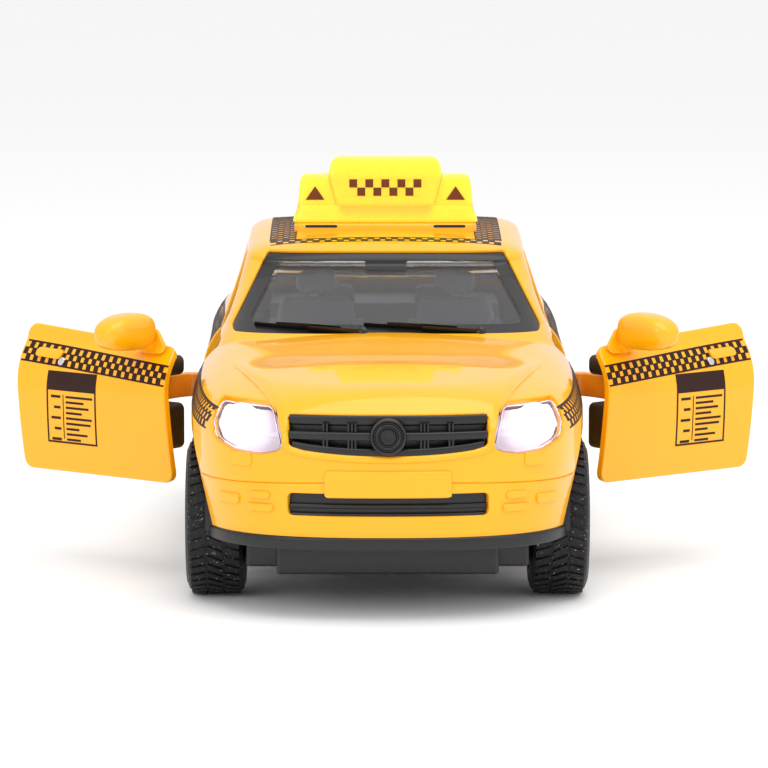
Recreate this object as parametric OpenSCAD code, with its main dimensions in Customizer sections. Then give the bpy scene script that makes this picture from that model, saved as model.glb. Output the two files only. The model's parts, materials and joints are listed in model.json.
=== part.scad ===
// Toy taxi: a die-cast pull-back saloon with opening front doors, lights and a roof sign.
// The car faces -Y, +X is the car's own left side, and the tyres stand on z = 0.

/* [Body] */
// Length over both bumpers
car_length = 145; // [138:1:152]
// Width of the body shell
body_width = 58; // [57:0.5:60]
// Height of the body's lower edge
sill_z = 12; // [11.5:0.25:12.5]
// Thickness of the die-cast wall
wall = 1.3; // [1.1:0.1:1.5]
// Height of the bonnet at the nose
nose_z = 30.3; // [29.75:0.25:31]
// Height of the shoulder line at the foot of the windscreen
cowl_z = 35.4; // [35:0.1:36]
// Height of the shoulder line at the boot
deck_z = 37.6; // [37:0.25:38.5]
// Height of the roof's crest
roof_z = 50.4; // [49.5:0.25:52]
// Horizontal reach of the shoulder's rounding
shoulder_reach = 9; // [8:0.5:10]
// Vertical reach of the shoulder's rounding
shoulder_drop = 8; // [7.5:0.25:8.5]

/* [Wheels] */
// Distance between the axles
wheelbase = 85; // [83:0.5:86]
// Front bumper to front axle
front_overhang = 27; // [26:0.5:28]
// Outside diameter of a tyre
wheel_d = 23; // [22.5:0.25:23.5]
// Width of a tyre
tyre_w = 8.6; // [8:0.2:9]
// Outside diameter of a rim
rim_d = 16; // [15:0.5:17]
// Distance over the outer faces of the tyres
track_out = 58.6; // [58:0.2:60]
// Diameter of the steel axles
axle_d = 2; // [1.8:0.1:2.2]
// Radial running clearance of the axles and gears
run_gap = 0.07; // [0.05:0.01:0.1]
// Gap between a tyre and its arch
arch_gap = 1.8; // [1.5:0.1:2]

/* [Doors] */
// Length of a front door
door_len = 30; // [28:0.5:31]
// Distance from the front axle back to the door's front edge
door_setback = 20.5; // [20.5:0.25:22]
// Angle at which the doors stand open
door_open = 52; // [40:1:54]
// Height of a door's lower edge
door_bottom_z = 14.2; // [14:0.1:15]
// Gap around a door
door_gap = 0.35; // [0.3:0.05:0.5]
// Distance of the hinge pin ahead of the door's front edge
pin_ahead = 7.7; // [7.4:0.1:8]
// Distance of the hinge pin inside the body's side
pin_inside = 6.5; // [6.3:0.1:6.8]
// Diameter of a hinge pin
pin_d = 1.8; // [1.6:0.1:2]

/* [Roof sign] */
// Width of the sign's foot
sign_w = 29.2; // [27:0.2:30]
// Height of the sign
sign_h = 10.3; // [9:0.1:12]
// Depth of the sign's foot
sign_d = 9; // [8:0.25:10]

/* [Pull-back motor] */
// Gear module
gear_m = 0.6; // [0.58:0.01:0.62]
// Width of a gear
gear_w = 2.6; // [2.4:0.1:2.8]

/* [Hidden] */
$fn = 48;

// One overrun for every cut
cut = 0.5;
// Clearance between faces that fit together
fit_gap = 0.1;
// Clearance between curved faces that must not touch
clear = 0.3;

half_len = car_length / 2;
half_w = body_width / 2;
front_axle_y = front_overhang - half_len;
rear_axle_y = front_axle_y + wheelbase;
axle_r = axle_d / 2;
axle_z = wheel_d / 2;
tyre_in = track_out / 2 - tyre_w;
arch_r = wheel_d / 2 + arch_gap;

// Exponents of the body's outline seen from above
plan_side_power = 2.4;
plan_end_power = 8;
// How far the sides draw in towards the sill
side_tuck = 1.1;
// Extra height of the bonnet and boot along the middle
crown = 0.9;
tail_z = deck_z - crown;
// Height of the shoulder line, from nose to tail, as shares of the half length
shoulder_line = [
    [-half_len, nose_z], [-0.69 * half_len, nose_z + 0.56 * (cowl_z - nose_z)], [-0.43 * half_len, cowl_z],
    [0.1 * half_len, cowl_z + 0.45 * (deck_z - cowl_z)], [0.75 * half_len, deck_z], [half_len, tail_z]
];
// Vertical reach of the shoulder's rounding, tighter across the nose and the tail
shoulder_drops = [
    [-half_len, 0.53 * shoulder_drop], [-0.78 * half_len, 0.8 * shoulder_drop],
    [-0.5 * half_len, shoulder_drop], [0.75 * half_len, shoulder_drop], [half_len, 0.7 * shoulder_drop]
];

// Cabin: its plan at the shoulder and at the edge of the roof
cabin_foot_z = cowl_z - 2.4 * crown;
cabin_front_y = -0.483 * half_len;
cabin_rear_y = 0.76 * half_len;
cabin_foot_w = 0.905 * half_w;
roof_front_y = -0.145 * half_len;
roof_rear_y = 0.45 * half_len;
roof_edge_w = 0.745 * half_w;
roof_reach = 4.2;
roof_drop = 2;
roof_crown = 0.5;
roof_base = roof_z - roof_crown;
cabin_side_power = 4;
cabin_end_power = 12;
// Height of the roof from front to rear, in steps below its crest
roof_fall = 3.2;
roof_line = [
    [-0.165 * half_len, roof_base - 0.85 * roof_fall], [-0.11 * half_len, roof_base - 0.68 * roof_fall],
    [0.03 * half_len, roof_base - 0.36 * roof_fall], [0.17 * half_len, roof_base - 0.09 * roof_fall],
    [0.28 * half_len, roof_base], [0.4 * half_len, roof_base - 0.2 * roof_fall],
    [0.5 * half_len, roof_base - 0.6 * roof_fall]
];

// Stations along the body and the cabin, and rings up their sides
body_steps = 36;
cabin_steps = 28;
wall_rings = 4;
round_rings = 5;
inner_rings = 2;
// Share of the half width at which the topmost rings end
top_share = 0.88;
// Share of the cabin's height by which its hollow starts below its foot
deep_share = -0.3;

// Curves that the body follows

function blend(a, b, t) = a + (b - a) * t;

function plan_x(y, a, front, rear, p, q) =
    let (u = min(1, abs(2 * y - front - rear) / (rear - front)))
    a * pow(max(0, 1 - pow(u, q)), 1 / p);

function plan_y(x, a, front, rear, p, q) =
    let (u = pow(max(0, 1 - pow(min(1, abs(x) / a), p)), 1 / q))
    (front + rear - u * (rear - front)) / 2;

// How far the body's side stands in from its widest line, at a height and a station
function side_inset(y, z) =
    let (top = lookup(y, shoulder_line), drop = lookup(y, shoulder_drops), below = top - drop)
    z < below
        ? side_tuck * pow((below - z) / (below - sill_z), 2)
        : shoulder_reach * (1 - sqrt(max(0, 1 - pow(1 - max(0, top - z) / drop, 2))));

function side_x(y, z) =
    let (d = side_inset(y, z))
    plan_x(y, half_w - d, d - half_len, half_len - d, plan_side_power, plan_end_power);

function end_y(x, z, sign, rounds, y) =
    rounds <= 0 ? y :
    let (d = side_inset(y, z))
    end_y(x, z, sign, rounds - 1,
        -sign * plan_y(x, half_w - d, d - half_len, half_len - d, plan_side_power, plan_end_power));

// Settling rounds of the search for a point on the nose or the tail
end_round_count = 12;
function nose_y(x, z) = end_y(x, z, -1, end_round_count, -half_len);
function tail_y(x, z) = end_y(x, z, 1, end_round_count, half_len);

// The cabin's front face at a height
function cabin_y(x, z) =
    let (edge = lookup(roof_front_y, roof_line) - roof_drop, t = (z - cabin_foot_z) / (edge - cabin_foot_z))
    plan_y(x, blend(cabin_foot_w, roof_edge_w, t), blend(cabin_front_y, roof_front_y, t),
        blend(cabin_rear_y, roof_rear_y, t), cabin_side_power, cabin_end_power);

// The cabin's side at a station and a height
function cabin_x(y, z) =
    let (edge = lookup(y, roof_line) - roof_drop, t = (z - cabin_foot_z) / (edge - cabin_foot_z))
    plan_x(y, blend(cabin_foot_w, roof_edge_w, t), blend(cabin_front_y, roof_front_y, t),
        blend(cabin_rear_y, roof_rear_y, t), cabin_side_power, cabin_end_power);

// Rings of a closed loft: front middle, left side, rear middle, right side

function ring(n, front, rear, a, p, q) = [
    for (i = [0 : 2 * n - 1])
    let (j = i <= n ? i : 2 * n - i, y = blend(front, rear, (1 - cos(180 * j / n)) / 2))
    [(i <= n ? 1 : -1) * plan_x(y, a, front, rear, p, q), y]
];

function body_rows() = concat(
    [for (k = [0 : wall_rings - 1]) [side_tuck * pow(1 - k / wall_rings, 2), k / wall_rings, 1]],
    [for (k = [0 : round_rings])
        let (a = 90 * k / round_rings) [shoulder_reach * (1 - cos(a)), 1, 1 - sin(a)]],
    [for (k = [1 : inner_rings]) [blend(shoulder_reach, top_share * half_w, k / inner_rings), 1, 0]]
);

function body_ring(row, grow, low) = [
    for (p = ring(body_steps, row[0] - half_len - grow, half_len + grow - row[0], half_w + grow - row[0],
        plan_side_power, plan_end_power))
    let (top = lookup(p[1], shoulder_line) + grow, drop = lookup(p[1], shoulder_drops),
        rise = crown * max(0, 1 - pow(p[0] / (half_w - shoulder_reach), 2)))
    [p[0], p[1], row[1] < 1 ? blend(low, top - drop, row[1]) : top - drop * row[2] + (row[2] < 1 ? rise : 0)]
];

function cabin_rows(start) = concat(
    [for (k = [0 : wall_rings - 1]) [blend(start, 1, k / wall_rings), 0, 1]],
    [for (k = [0 : round_rings]) let (a = 90 * k / round_rings) [1, roof_reach * (1 - cos(a)), 1 - sin(a)]],
    [for (k = [1 : inner_rings]) [1, blend(roof_reach, top_share * roof_edge_w, k / inner_rings), 0]]
);

function cabin_ring(row, grow) =
    let (d = row[1] - grow, t = row[0],
        front = blend(cabin_front_y, roof_front_y, t) + d,
        rear = blend(cabin_rear_y, roof_rear_y, t) - d,
        a = blend(cabin_foot_w, roof_edge_w, t) - d)
    [
        for (p = ring(cabin_steps, front, rear, a, cabin_side_power, cabin_end_power))
        let (top = lookup(p[1], roof_line) + grow,
            rise = roof_crown * max(0, 1 - pow(p[0] / (roof_edge_w - roof_reach), 2)))
        [p[0], p[1], t < 1
            ? blend(cabin_foot_z, top - roof_drop, t)
            : top - roof_drop * row[2] + (row[2] < 1 ? rise : 0)]
    ];

function loft_faces(rows, n) = concat(
    [for (r = [0 : rows - 2], i = [0 : 2 * n - 1]) let (j = (i + 1) % (2 * n), b = 2 * n * r, t = b + 2 * n)
        [b + i, t + j, b + j]],
    [for (r = [0 : rows - 2], i = [0 : 2 * n - 1]) let (j = (i + 1) % (2 * n), b = 2 * n * r, t = b + 2 * n)
        [b + i, t + i, t + j]],
    [for (k = [0 : n - 2]) [k, k + 1, 2 * n - k - 1]],
    [for (k = [1 : n - 1]) [k, 2 * n - k - 1, 2 * n - k]],
    [for (k = [0 : n - 2]) let (t = 2 * n * (rows - 1)) [t + k, t + 2 * n - k - 1, t + k + 1]],
    [for (k = [1 : n - 1]) let (t = 2 * n * (rows - 1)) [t + k, t + 2 * n - k, t + 2 * n - k - 1]]
);

module body_solid(grow, low) {
    rows = body_rows();
    points = [for (row = rows) each body_ring(row, grow, low)];
    polyhedron(points, loft_faces(len(rows), body_steps), convexity = 4);
}

// The cabin, from a share of its height that may lie below its foot
module cabin_solid(grow, start) {
    rows = cabin_rows(start);
    points = [for (row = rows) each cabin_ring(row, grow)];
    polyhedron(points, loft_faces(len(rows), cabin_steps), convexity = 4);
}

// Small building blocks

module both_sides() {
    children();
    mirror([1, 0, 0]) children();
}

// A box given by its low and its high corner
module block(low, high) {
    translate(low) cube(high - low);
}

// A round bar along X, Y or Z
module bar_x(r, x0, x1, y, z) {
    translate([x0, y, z]) rotate([0, 90, 0]) cylinder(r = r, h = x1 - x0);
}

module bar_y(r, y0, y1, x, z) {
    translate([x, y0, z]) rotate([-90, 0, 0]) cylinder(r = r, h = y1 - y0);
}

module bar_z(r, z0, z1, x, y) {
    translate([x, y, z0]) cylinder(r = r, h = z1 - z0);
}

// A round bar from one point to another
module rod(a, b, r) {
    v = b - a;
    translate(a)
        rotate([0, acos(v[2] / norm(v)), atan2(v[1], v[0])])
            cylinder(r = r, h = norm(v), $fn = 16);
}

// A side profile in y and z, drawn out along X
module profile_x(points, x0, x1) {
    translate([x0, 0, 0]) rotate([90, 0, 90]) linear_extrude(x1 - x0) polygon(points);
}

// A rounded prism along X through corner points in y and z
module rounded_x(corners, r, x0, x1) {
    hull()
        for (c = corners)
            bar_x(r, x0, x1, c[0], c[1], $fn = 24);
}

// A rounded prism along Y through corner points in x and z
module rounded_y(corners, r, y0, y1) {
    hull()
        for (c = corners)
            bar_y(r, y0, y1, c[0], c[1], $fn = 24);
}

// A panel set in the nose (sign -1) or the tail (sign 1), from one depth to another below the skin
module end_panel(corners, r, sign, d0, d1) {
    hull()
        for (c = corners)
            let (y = sign < 0 ? nose_y(c[0], c[1]) : tail_y(c[0], c[1]))
            let (a = y - sign * d0, b = y - sign * d1)
            bar_y(r, min(a, b), max(a, b), c[0], c[1], $fn = 24);
}

// A strip bowed like the nose, between two heights and two depths
module nose_strip(x1, z0, z1, d0, d1) {
    n = 8;
    xs = [for (i = [-n : n]) x1 * i / n];
    translate([0, 0, z0])
        linear_extrude(z1 - z0)
            polygon(concat(
                [for (x = xs) [x, nose_y(x, (z0 + z1) / 2) + d0]],
                [for (i = [2 * n : -1 : 0]) [xs[i], nose_y(xs[i], (z0 + z1) / 2) + d1]]
            ));
}

// Doors and their hinges, drawn shut on the right side

door_front_y = front_axle_y + door_setback;
door_rear_y = door_front_y + door_len;
door_drop = 0.7;
door_top_z = cowl_z - door_drop;
door_corner = 1.6;
pin_x = half_w - pin_inside;
pin_y = door_front_y - pin_ahead;
pin_r = pin_d / 2;
arm_up = 14.3;
arm_z0 = sill_z + arm_up;
arm_h = 3.6;
arm_z1 = arm_z0 + arm_h;
arm_half = 1;
arm_eye_r = 2.1;
arm_neck = 4.3;
// Goose neck from the pin, first inwards and back, then out to the door
arm_path = [
    [0, 0], [0.97 * arm_neck, 0.85 * pin_ahead], [1.03 * arm_neck, 1.38 * pin_ahead],
    [0.6 * arm_neck, 1.64 * pin_ahead], [-0.7 * pin_inside, 1.64 * pin_ahead]
];
door_bevel = 1.4;
door_lip = 0.3;
trim_back = 2.5;
trim_inset = 5.4;
trim_up = 4.9;
trim_down = 1.5;
trim_in_x = half_w - trim_inset;
trim_z0 = door_bottom_z + trim_up;
trim_z1 = door_top_z - trim_down;
handle = [1.2, 6, 1.9];
handle_back = 3;
handle_down = 5.4;
handle_z = cowl_z - handle_down;
mirror_out = 9;
mirror_deep = 4.6;
mirror_tall = 4.6;
mirror_r = 1.2;
mirror_foot = 2.2;
mirror_back = 4.2;
mirror_lift = 1;

function door_corners(grow) = let (d = door_corner - grow) [
    [door_front_y + d, door_bottom_z + d], [door_rear_y - d, door_bottom_z + d],
    [door_rear_y - d, door_top_z - d], [door_front_y + d, door_top_z - d]
];

// Slab between two sheets laid over the same grid
module slab(outer, inner, ny, nz) {
    m = ny * nz;
    edge = concat(
        [for (i = [0 : ny - 2]) i], [for (k = [0 : nz - 2]) ny - 1 + k * ny],
        [for (i = [ny - 1 : -1 : 1]) (nz - 1) * ny + i], [for (k = [nz - 1 : -1 : 1]) k * ny]
    );
    polyhedron(concat(outer, inner), concat(
        [for (k = [0 : nz - 2], i = [0 : ny - 2]) let (a = k * ny + i) [a, a + 1, a + ny + 1]],
        [for (k = [0 : nz - 2], i = [0 : ny - 2]) let (a = k * ny + i) [a, a + ny + 1, a + ny]],
        [for (k = [0 : nz - 2], i = [0 : ny - 2]) let (a = m + k * ny + i) [a, a + ny + 1, a + 1]],
        [for (k = [0 : nz - 2], i = [0 : ny - 2]) let (a = m + k * ny + i) [a, a + ny, a + ny + 1]],
        [for (e = [0 : len(edge) - 1]) let (a = edge[e], b = edge[(e + 1) % len(edge)]) [a, m + b, b]],
        [for (e = [0 : len(edge) - 1]) let (a = edge[e], b = edge[(e + 1) % len(edge)]) [a, m + a, m + b]]
    ), convexity = 4);
}

// The door's grid of stations and heights
door_ys = [
    door_front_y, door_front_y + door_bevel, door_front_y + 0.35 * door_len, door_front_y + 0.7 * door_len,
    door_rear_y
];
door_row_count = 13;
door_zs = [for (k = [0 : door_row_count - 1]) blend(door_bottom_z, door_top_z, k / (door_row_count - 1))];

module swung(angle) {
    translate([-pin_x, pin_y, 0])
        rotate([0, 0, angle])
            translate([pin_x, -pin_y, 0]) children();
}

module hinge_arm() {
    translate([-pin_x, pin_y, arm_z0])
        linear_extrude(arm_h)
            for (i = [0 : len(arm_path) - 2])
                hull() {
                    translate(arm_path[i]) circle(arm_half, $fn = 16);
                    translate(arm_path[i + 1]) circle(arm_half, $fn = 16);
                }
    bar_z(arm_eye_r, arm_z0, arm_z1, -pin_x, pin_y);
}

module door_skin() {
    outer = [for (z = door_zs, y = door_ys) [-side_x(y, z), y, z]];
    inner = [for (z = door_zs, y = door_ys) [(y == door_front_y ? door_lip : wall) - side_x(y, z), y, z]];
    intersection() {
        slab(outer, inner, len(door_ys), door_row_count);
        rounded_x(door_corners(0), door_corner, -half_w - cut, -pin_x);
    }
    hy = door_rear_y - handle_back - handle[1];
    hx = side_x(hy, handle_z);
    block([-hx - handle[0] / 2, hy, handle_z], [-hx + handle[0], hy + handle[1], handle_z + handle[2]]);
}

module door_shut() {
    difference() {
        union() {
            door_skin();
            hinge_arm();
        }
        bar_z(pin_r + run_gap, arm_z0 - cut, arm_z1 + cut, -pin_x, pin_y);
    }
}

module trim_shut() {
    ys = [door_front_y + trim_back, blend(door_front_y, door_rear_y, 0.5), door_rear_y - 0.5 * trim_back];
    zs = [for (k = [0 : door_row_count - 1]) blend(trim_z0, trim_z1, k / (door_row_count - 1))];
    outer = [for (z = zs, y = ys) [wall + fit_gap - side_x(y, z), y, z]];
    inner = [for (z = zs, y = ys) [-trim_in_x, y, z]];
    difference() {
        slab(outer, inner, len(ys), door_row_count);
        block([-half_w, door_front_y, arm_z0 - clear],
            [-pin_x, pin_y + 1.64 * pin_ahead + arm_half + clear, arm_z1 + clear]);
    }
}

module mirror_shut() {
    y0 = door_front_y + mirror_back;
    x0 = cabin_x(y0 + mirror_deep, door_top_z) + clear;
    z0 = door_top_z - fit_gap;
    hull()
        for (x = [mirror_r, mirror_out - mirror_r], y = [mirror_r, mirror_deep - mirror_r],
            z = [mirror_r, mirror_tall - mirror_r])
            translate([-x0 - clear - x, y0 + y + 0.1 * x, z0 + mirror_lift + z]) sphere(mirror_r, $fn = 20);
    block([-x0 - mirror_foot, y0 + mirror_r, z0 - mirror_foot / 2],
        [-x0, y0 + mirror_deep - mirror_r, z0 + mirror_foot]);
}

module right_door() color("#FDB92E") swung(door_open) door_shut();
module left_door() color("#FDB92E") mirror([1, 0, 0]) swung(door_open) door_shut();
module right_door_trim() color("#2B2A2E") swung(door_open) trim_shut();
module left_door_trim() color("#2B2A2E") mirror([1, 0, 0]) swung(door_open) trim_shut();
module right_mirror() color("#FDB92E") swung(door_open) mirror_shut();
module left_mirror() color("#FDB92E") mirror([1, 0, 0]) swung(door_open) mirror_shut();

pin_head_r = 1.7;
pin_head_h = 0.8;
pin_seat = 2.4;
boss_r = 2.4;

module hinge_pins() color("#9A9CA0")
    both_sides() {
        bar_z(pin_r, arm_z0 - fit_gap, arm_z1 + fit_gap + pin_seat, pin_x, pin_y);
        bar_z(pin_head_r, arm_z0 - fit_gap - pin_head_h, arm_z0 - fit_gap, pin_x, pin_y);
    }

// Openings in the body, as corner points inside the corner radius

window_r = 1.2;
belt_up = 1.9;
belt_z = cowl_z + belt_up;
glass_top = roof_base - 2.4 * roof_drop;
front_window = [
    [cabin_front_y + 0.27 * half_len, belt_z], [door_rear_y - 0.9 * window_r, belt_z],
    [door_rear_y - 0.9 * window_r, glass_top], [roof_front_y + 0.125 * half_len, glass_top]
];
rear_window = [
    [door_rear_y + 2.4 * window_r, belt_z], [cabin_rear_y - 0.33 * half_len, belt_z],
    [roof_rear_y - 0.16 * half_len, glass_top], [door_rear_y + 2.4 * window_r, glass_top]
];
screen_r = 0.6;
screen_top = glass_top + 1.2 * window_r;
screen = [
    [-0.79 * half_w, belt_z], [0.79 * half_w, belt_z],
    [0.62 * half_w, screen_top], [-0.62 * half_w, screen_top]
];
back_light = [
    [-0.68 * half_w, deck_z + 2.2 * window_r], [0.68 * half_w, deck_z + 2.2 * window_r],
    [0.54 * half_w, glass_top + window_r], [-0.54 * half_w, glass_top + window_r]
];

lamp_r = 0.9;
lamp_down = 0.6;
lamp_h = 4.2;
lamp_z1 = nose_z - lamp_down;
lamp_z0 = lamp_z1 - lamp_h;
headlight = [
    [0.59 * half_w, lamp_z0], [0.7 * half_w, lamp_z0 - 0.2 * lamp_r], [0.82 * half_w, lamp_z0 + 1.2 * lamp_r],
    [0.84 * half_w, lamp_z0 + 2.6 * lamp_r], [0.8 * half_w, lamp_z1 - 0.3 * lamp_r], [0.62 * half_w, lamp_z1]
];
lamp_thick = 1.3;
lamp_deep = 5;
tail_down = 5.6;
tail_h = 3.8;
tail_z1 = deck_z - tail_down;
tail_z0 = tail_z1 - tail_h;
tail_light = [
    [0.5 * half_w, tail_z0], [0.85 * half_w, tail_z0 + 0.5 * lamp_r], [0.85 * half_w, tail_z1],
    [0.46 * half_w, tail_z1 - 0.5 * lamp_r]
];

grille_w = 0.49 * half_w;
grille_down = 0.9;
grille_h = 5.7;
grille_z1 = nose_z - grille_down;
grille_z0 = grille_z1 - grille_h;
grille_corner = 0.7;
grille_hole = [
    [grille_w - grille_corner, grille_z1 - grille_corner],
    [grille_corner - grille_w, grille_z1 - grille_corner],
    [grille_corner - grille_w, grille_z0 + 2.4 * grille_corner], [0, grille_z0 + grille_corner],
    [grille_w - grille_corner, grille_z0 + 2.4 * grille_corner]
];
intake_up = 3.2;
intake_h = 3.2;
intake_z0 = sill_z + intake_up;
intake_z1 = intake_z0 + intake_h;
intake_hole = [
    [grille_w - grille_corner, intake_z1 - grille_corner],
    [grille_corner - grille_w, intake_z1 - grille_corner],
    [grille_corner - grille_w, intake_z0 + grille_corner],
    [grille_w - grille_corner, intake_z0 + grille_corner]
];
plate_w = 0.315 * half_w;
plate_up = 5.5;
plate_h = 3.7;
plate_z0 = sill_z + plate_up;
plate_z1 = plate_z0 + plate_h;
plate_out = 0.4;

pad_w = 0.52 * half_w;
pad_front_y = 0.014 * half_len;
pad_len = 17;
pad_down = 6;

screw_front_in = 12.5;
screw_rear_in = 4.9;
screw_front_y = screw_front_in - half_len;
screw_rear_y = half_len - screw_rear_in;
post_r = 2.5;
screw_r = 1;
post_z0 = sill_z + fit_gap;

module body_openings() {
    // Doors and windows
    rounded_x(door_corners(door_gap), door_corner, -half_w - cut, half_w + cut);
    rounded_x(front_window, window_r, -half_w, half_w);
    rounded_x(rear_window, window_r, -half_w, half_w);
    rounded_y(screen, screen_r, cabin_front_y - roof_reach, roof_front_y + 2 * roof_reach);
    rounded_y(back_light, window_r, roof_rear_y - roof_reach / 2, cabin_rear_y + roof_reach);
    // Lamps and grilles
    both_sides() end_panel(headlight, lamp_r + fit_gap, -1, -lamp_deep / 2, lamp_deep);
    both_sides() end_panel(tail_light, lamp_r + fit_gap, 1, -lamp_deep / 2, lamp_deep);
    end_panel(grille_hole, grille_corner, -1, -lamp_deep / 2, lamp_deep);
    end_panel(intake_hole, grille_corner, -1, -lamp_deep / 2, lamp_deep);
    // Wheel arches
    both_sides()
        for (y = [front_axle_y, rear_axle_y])
            bar_x(arch_r, tyre_in - 2 * fit_gap - wall, half_w + cut, y, axle_z);
}

module body_shell() color("#FDB92E") {
    difference() {
        union() {
            difference() {
                union() {
                    body_solid(0, sill_z);
                    cabin_solid(0, 0);
                    block([-pad_w, pad_front_y, roof_z - pad_down], [pad_w, pad_front_y + pad_len, roof_z]);
                }
                body_solid(-wall, sill_z - cut);
                cabin_solid(-wall, deep_share);
                body_openings();
            }
            // Number-plate pad, hinge bosses and screw posts
            nose_strip(plate_w, plate_z0, plate_z1, -plate_out, wall);
            both_sides() bar_z(boss_r, arm_z1 + clear, cowl_z - 0.22 * shoulder_drop, pin_x, pin_y);
            bar_z(post_r, post_z0, lookup(screw_front_y, shoulder_line) + 0.25 * crown, 0, screw_front_y);
            bar_z(post_r, post_z0, lookup(screw_rear_y, shoulder_line) - 0.85 * wall, 0, screw_rear_y);
        }
        for (y = [screw_front_y, screw_rear_y])
            bar_z(screw_r + fit_gap / 2, post_z0 - cut, post_z0 + 10 * screw_r, 0, y);
    }
}

glass_t = 1;
glass_up = 0.2;
glass_z0 = cowl_z + glass_up;

module window_insert() color("#E8F0F2", 0.35)
    difference() {
        cabin_solid(-wall - fit_gap, 0);
        cabin_solid(-wall - fit_gap - glass_t, deep_share);
        block([-half_w, -half_len, 0], [half_w, half_len, glass_z0]);
    }

// Roof sign: a flared foot, two wings and a taller middle
sign_y = pad_front_y + 0.2 * pad_len + sign_d / 2;
wing_share = 0.92;
wing_h = 0.73 * sign_h;
mid_w = 0.62 * sign_w;
mid_top_w = 0.555 * sign_w;
foot_h = 0.1 * sign_h;
sign_top_d = 0.62 * sign_d;

module sign_front(points, z, d0, d1, h) {
    translate([0, sign_y, z])
        intersection() {
            rotate([90, 0, 0]) translate([0, 0, -sign_d]) linear_extrude(2 * sign_d) polygon(points);
            rotate([90, 0, 90])
                translate([0, 0, -sign_w])
                    linear_extrude(2 * sign_w)
                        polygon([[-d0 / 2, 0], [d0 / 2, 0], [d1 / 2, h], [-d1 / 2, h]]);
        }
}

module roof_sign() color("#FDEB3C", 0.8) {
    sign_front([
        [-sign_w / 2, 0], [sign_w / 2, 0],
        [wing_share * sign_w / 2, foot_h], [wing_share * sign_w / 2, wing_h],
        [mid_w / 2, wing_h], [mid_top_w / 2, sign_h], [-mid_top_w / 2, sign_h], [-mid_w / 2, wing_h],
        [-wing_share * sign_w / 2, wing_h], [-wing_share * sign_w / 2, foot_h]
    ], roof_z, sign_d, sign_top_d, sign_h);
}

// Grilles behind the nose
bar_t = 0.8;
bar_count = 3;
bar_front = 0.4;
mesh_back = 2.2;
mesh_t = 1;
divider_share = 0.62;
boss_disc_r = 2.5;
boss_disc_t = 1.6;

module grille() color("#2B2A2E") {
    h = grille_z1 - grille_z0;
    nose_strip(grille_w - fit_gap, grille_z0 - wall, grille_z1 - 0.3 * h, mesh_back, mesh_back + mesh_t);
    for (i = [0 : bar_count - 1])
        let (z = grille_z0 + h * (i + 0.35) / bar_count)
        nose_strip(grille_w - fit_gap - (i == 0 ? 6.5 * bar_t : 0), z, z + bar_t,
            bar_front, mesh_back + mesh_t / 2);
    for (x = [-divider_share, divider_share])
        let (y = nose_y(x * grille_w, grille_z0 + h / 2))
        block([x * grille_w - bar_t / 2, y + 2 * bar_front, grille_z0 + h * 0.35 / bar_count],
            [x * grille_w + bar_t / 2, y + mesh_back + mesh_t / 2,
                grille_z0 + h * 2.35 / bar_count + bar_t / 2]);
    let (y = nose_y(0, grille_z0 + h / 2))
        bar_y(boss_disc_r, y - boss_disc_t + mesh_back - mesh_t, y + mesh_back, 0, grille_z0 + 0.47 * h);
}

module lower_grille() color("#2B2A2E") {
    nose_strip(grille_w + wall, intake_z0 - wall, intake_z1 + wall, mesh_back, mesh_back + mesh_t);
    nose_strip(grille_w - fit_gap, (intake_z0 + intake_z1 - bar_t) / 2, (intake_z0 + intake_z1 + bar_t) / 2,
        2 * bar_front, mesh_back + mesh_t / 2);
}

module left_headlight_lens() color("#F4F7FA", 0.6) end_panel(headlight, lamp_r, -1, fit_gap, lamp_thick);
module right_headlight_lens() mirror([1, 0, 0]) left_headlight_lens();
module left_tail_light() color("#B3121A") end_panel(tail_light, lamp_r, 1, fit_gap, 2 * lamp_thick);
module right_tail_light() mirror([1, 0, 0]) left_tail_light();

// Lamps: bowls, LEDs and leads
led_r = 1.5;
led_len = 5;
led_x = 0.67 * half_w;
led_z = blend(lamp_z0, lamp_z1, 0.4);
bowl_r = 2.1;
bowl_back_r = 1.9;
bowl_len = 3.4;
bowl_gap = 0.8;
bowl_y = nose_y(led_x + bowl_r, led_z + bowl_r) + lamp_thick + bowl_gap;
bowl_wall = 0.5;
led_y = bowl_y + bowl_len - led_len / 3;
strut = 1;
board_up = 4;
board_z = sill_z + board_up;
board_t = 1.2;
board_w = 13;
board_gap = 1.2;
board_y0 = screw_front_y + post_r + board_gap;
board_len = 9;
lead_r = 0.3;

module headlight_reflectors() color("#D6D9DD") {
    both_sides()
        difference() {
            translate([led_x, bowl_y, led_z])
                rotate([-90, 0, 0]) cylinder(r1 = bowl_r, r2 = bowl_back_r, h = bowl_len);
            translate([led_x, bowl_y - cut, led_z])
                rotate([-90, 0, 0])
                    cylinder(r1 = bowl_r - bowl_wall, r2 = led_r, h = bowl_len - led_len / 3 + cut);
            bar_y(led_r, bowl_y, bowl_y + bowl_len + cut, led_x, led_z);
        }
    // Struts that rest on the front screw post
    both_sides()
        block([post_r + fit_gap, screw_front_y - strut / 2, led_z - bowl_r],
            [led_x - led_r, screw_front_y + strut / 2, led_z - bowl_r + strut]);
}

module headlight_leds() color("#FDF6E0")
    both_sides() bar_y(led_r, led_y, led_y + led_len, led_x, led_z);

module led_leads() color("#B9BBBF")
    both_sides()
        for (s = [-1, 1])
            let (
                a = [led_x, led_y + led_len, led_z + s * led_r / 2],
                bend = a + [0, led_r, 0],
                b = [board_w - 2 * led_r - s * led_r, board_y0 + board_len / 2, a[2]],
                c = [b[0], b[1], board_z + board_t]
            ) {
                rod(a, bend, lead_r);
                rod(bend, b, lead_r);
                rod(c, b, lead_r);
                for (p = [bend, b])
                    translate(p) sphere(1.3 * lead_r, $fn = 16);
            }

chip = [8, 5, 1.4];
coil_r = 1.8;
coil_h = 4;

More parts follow.
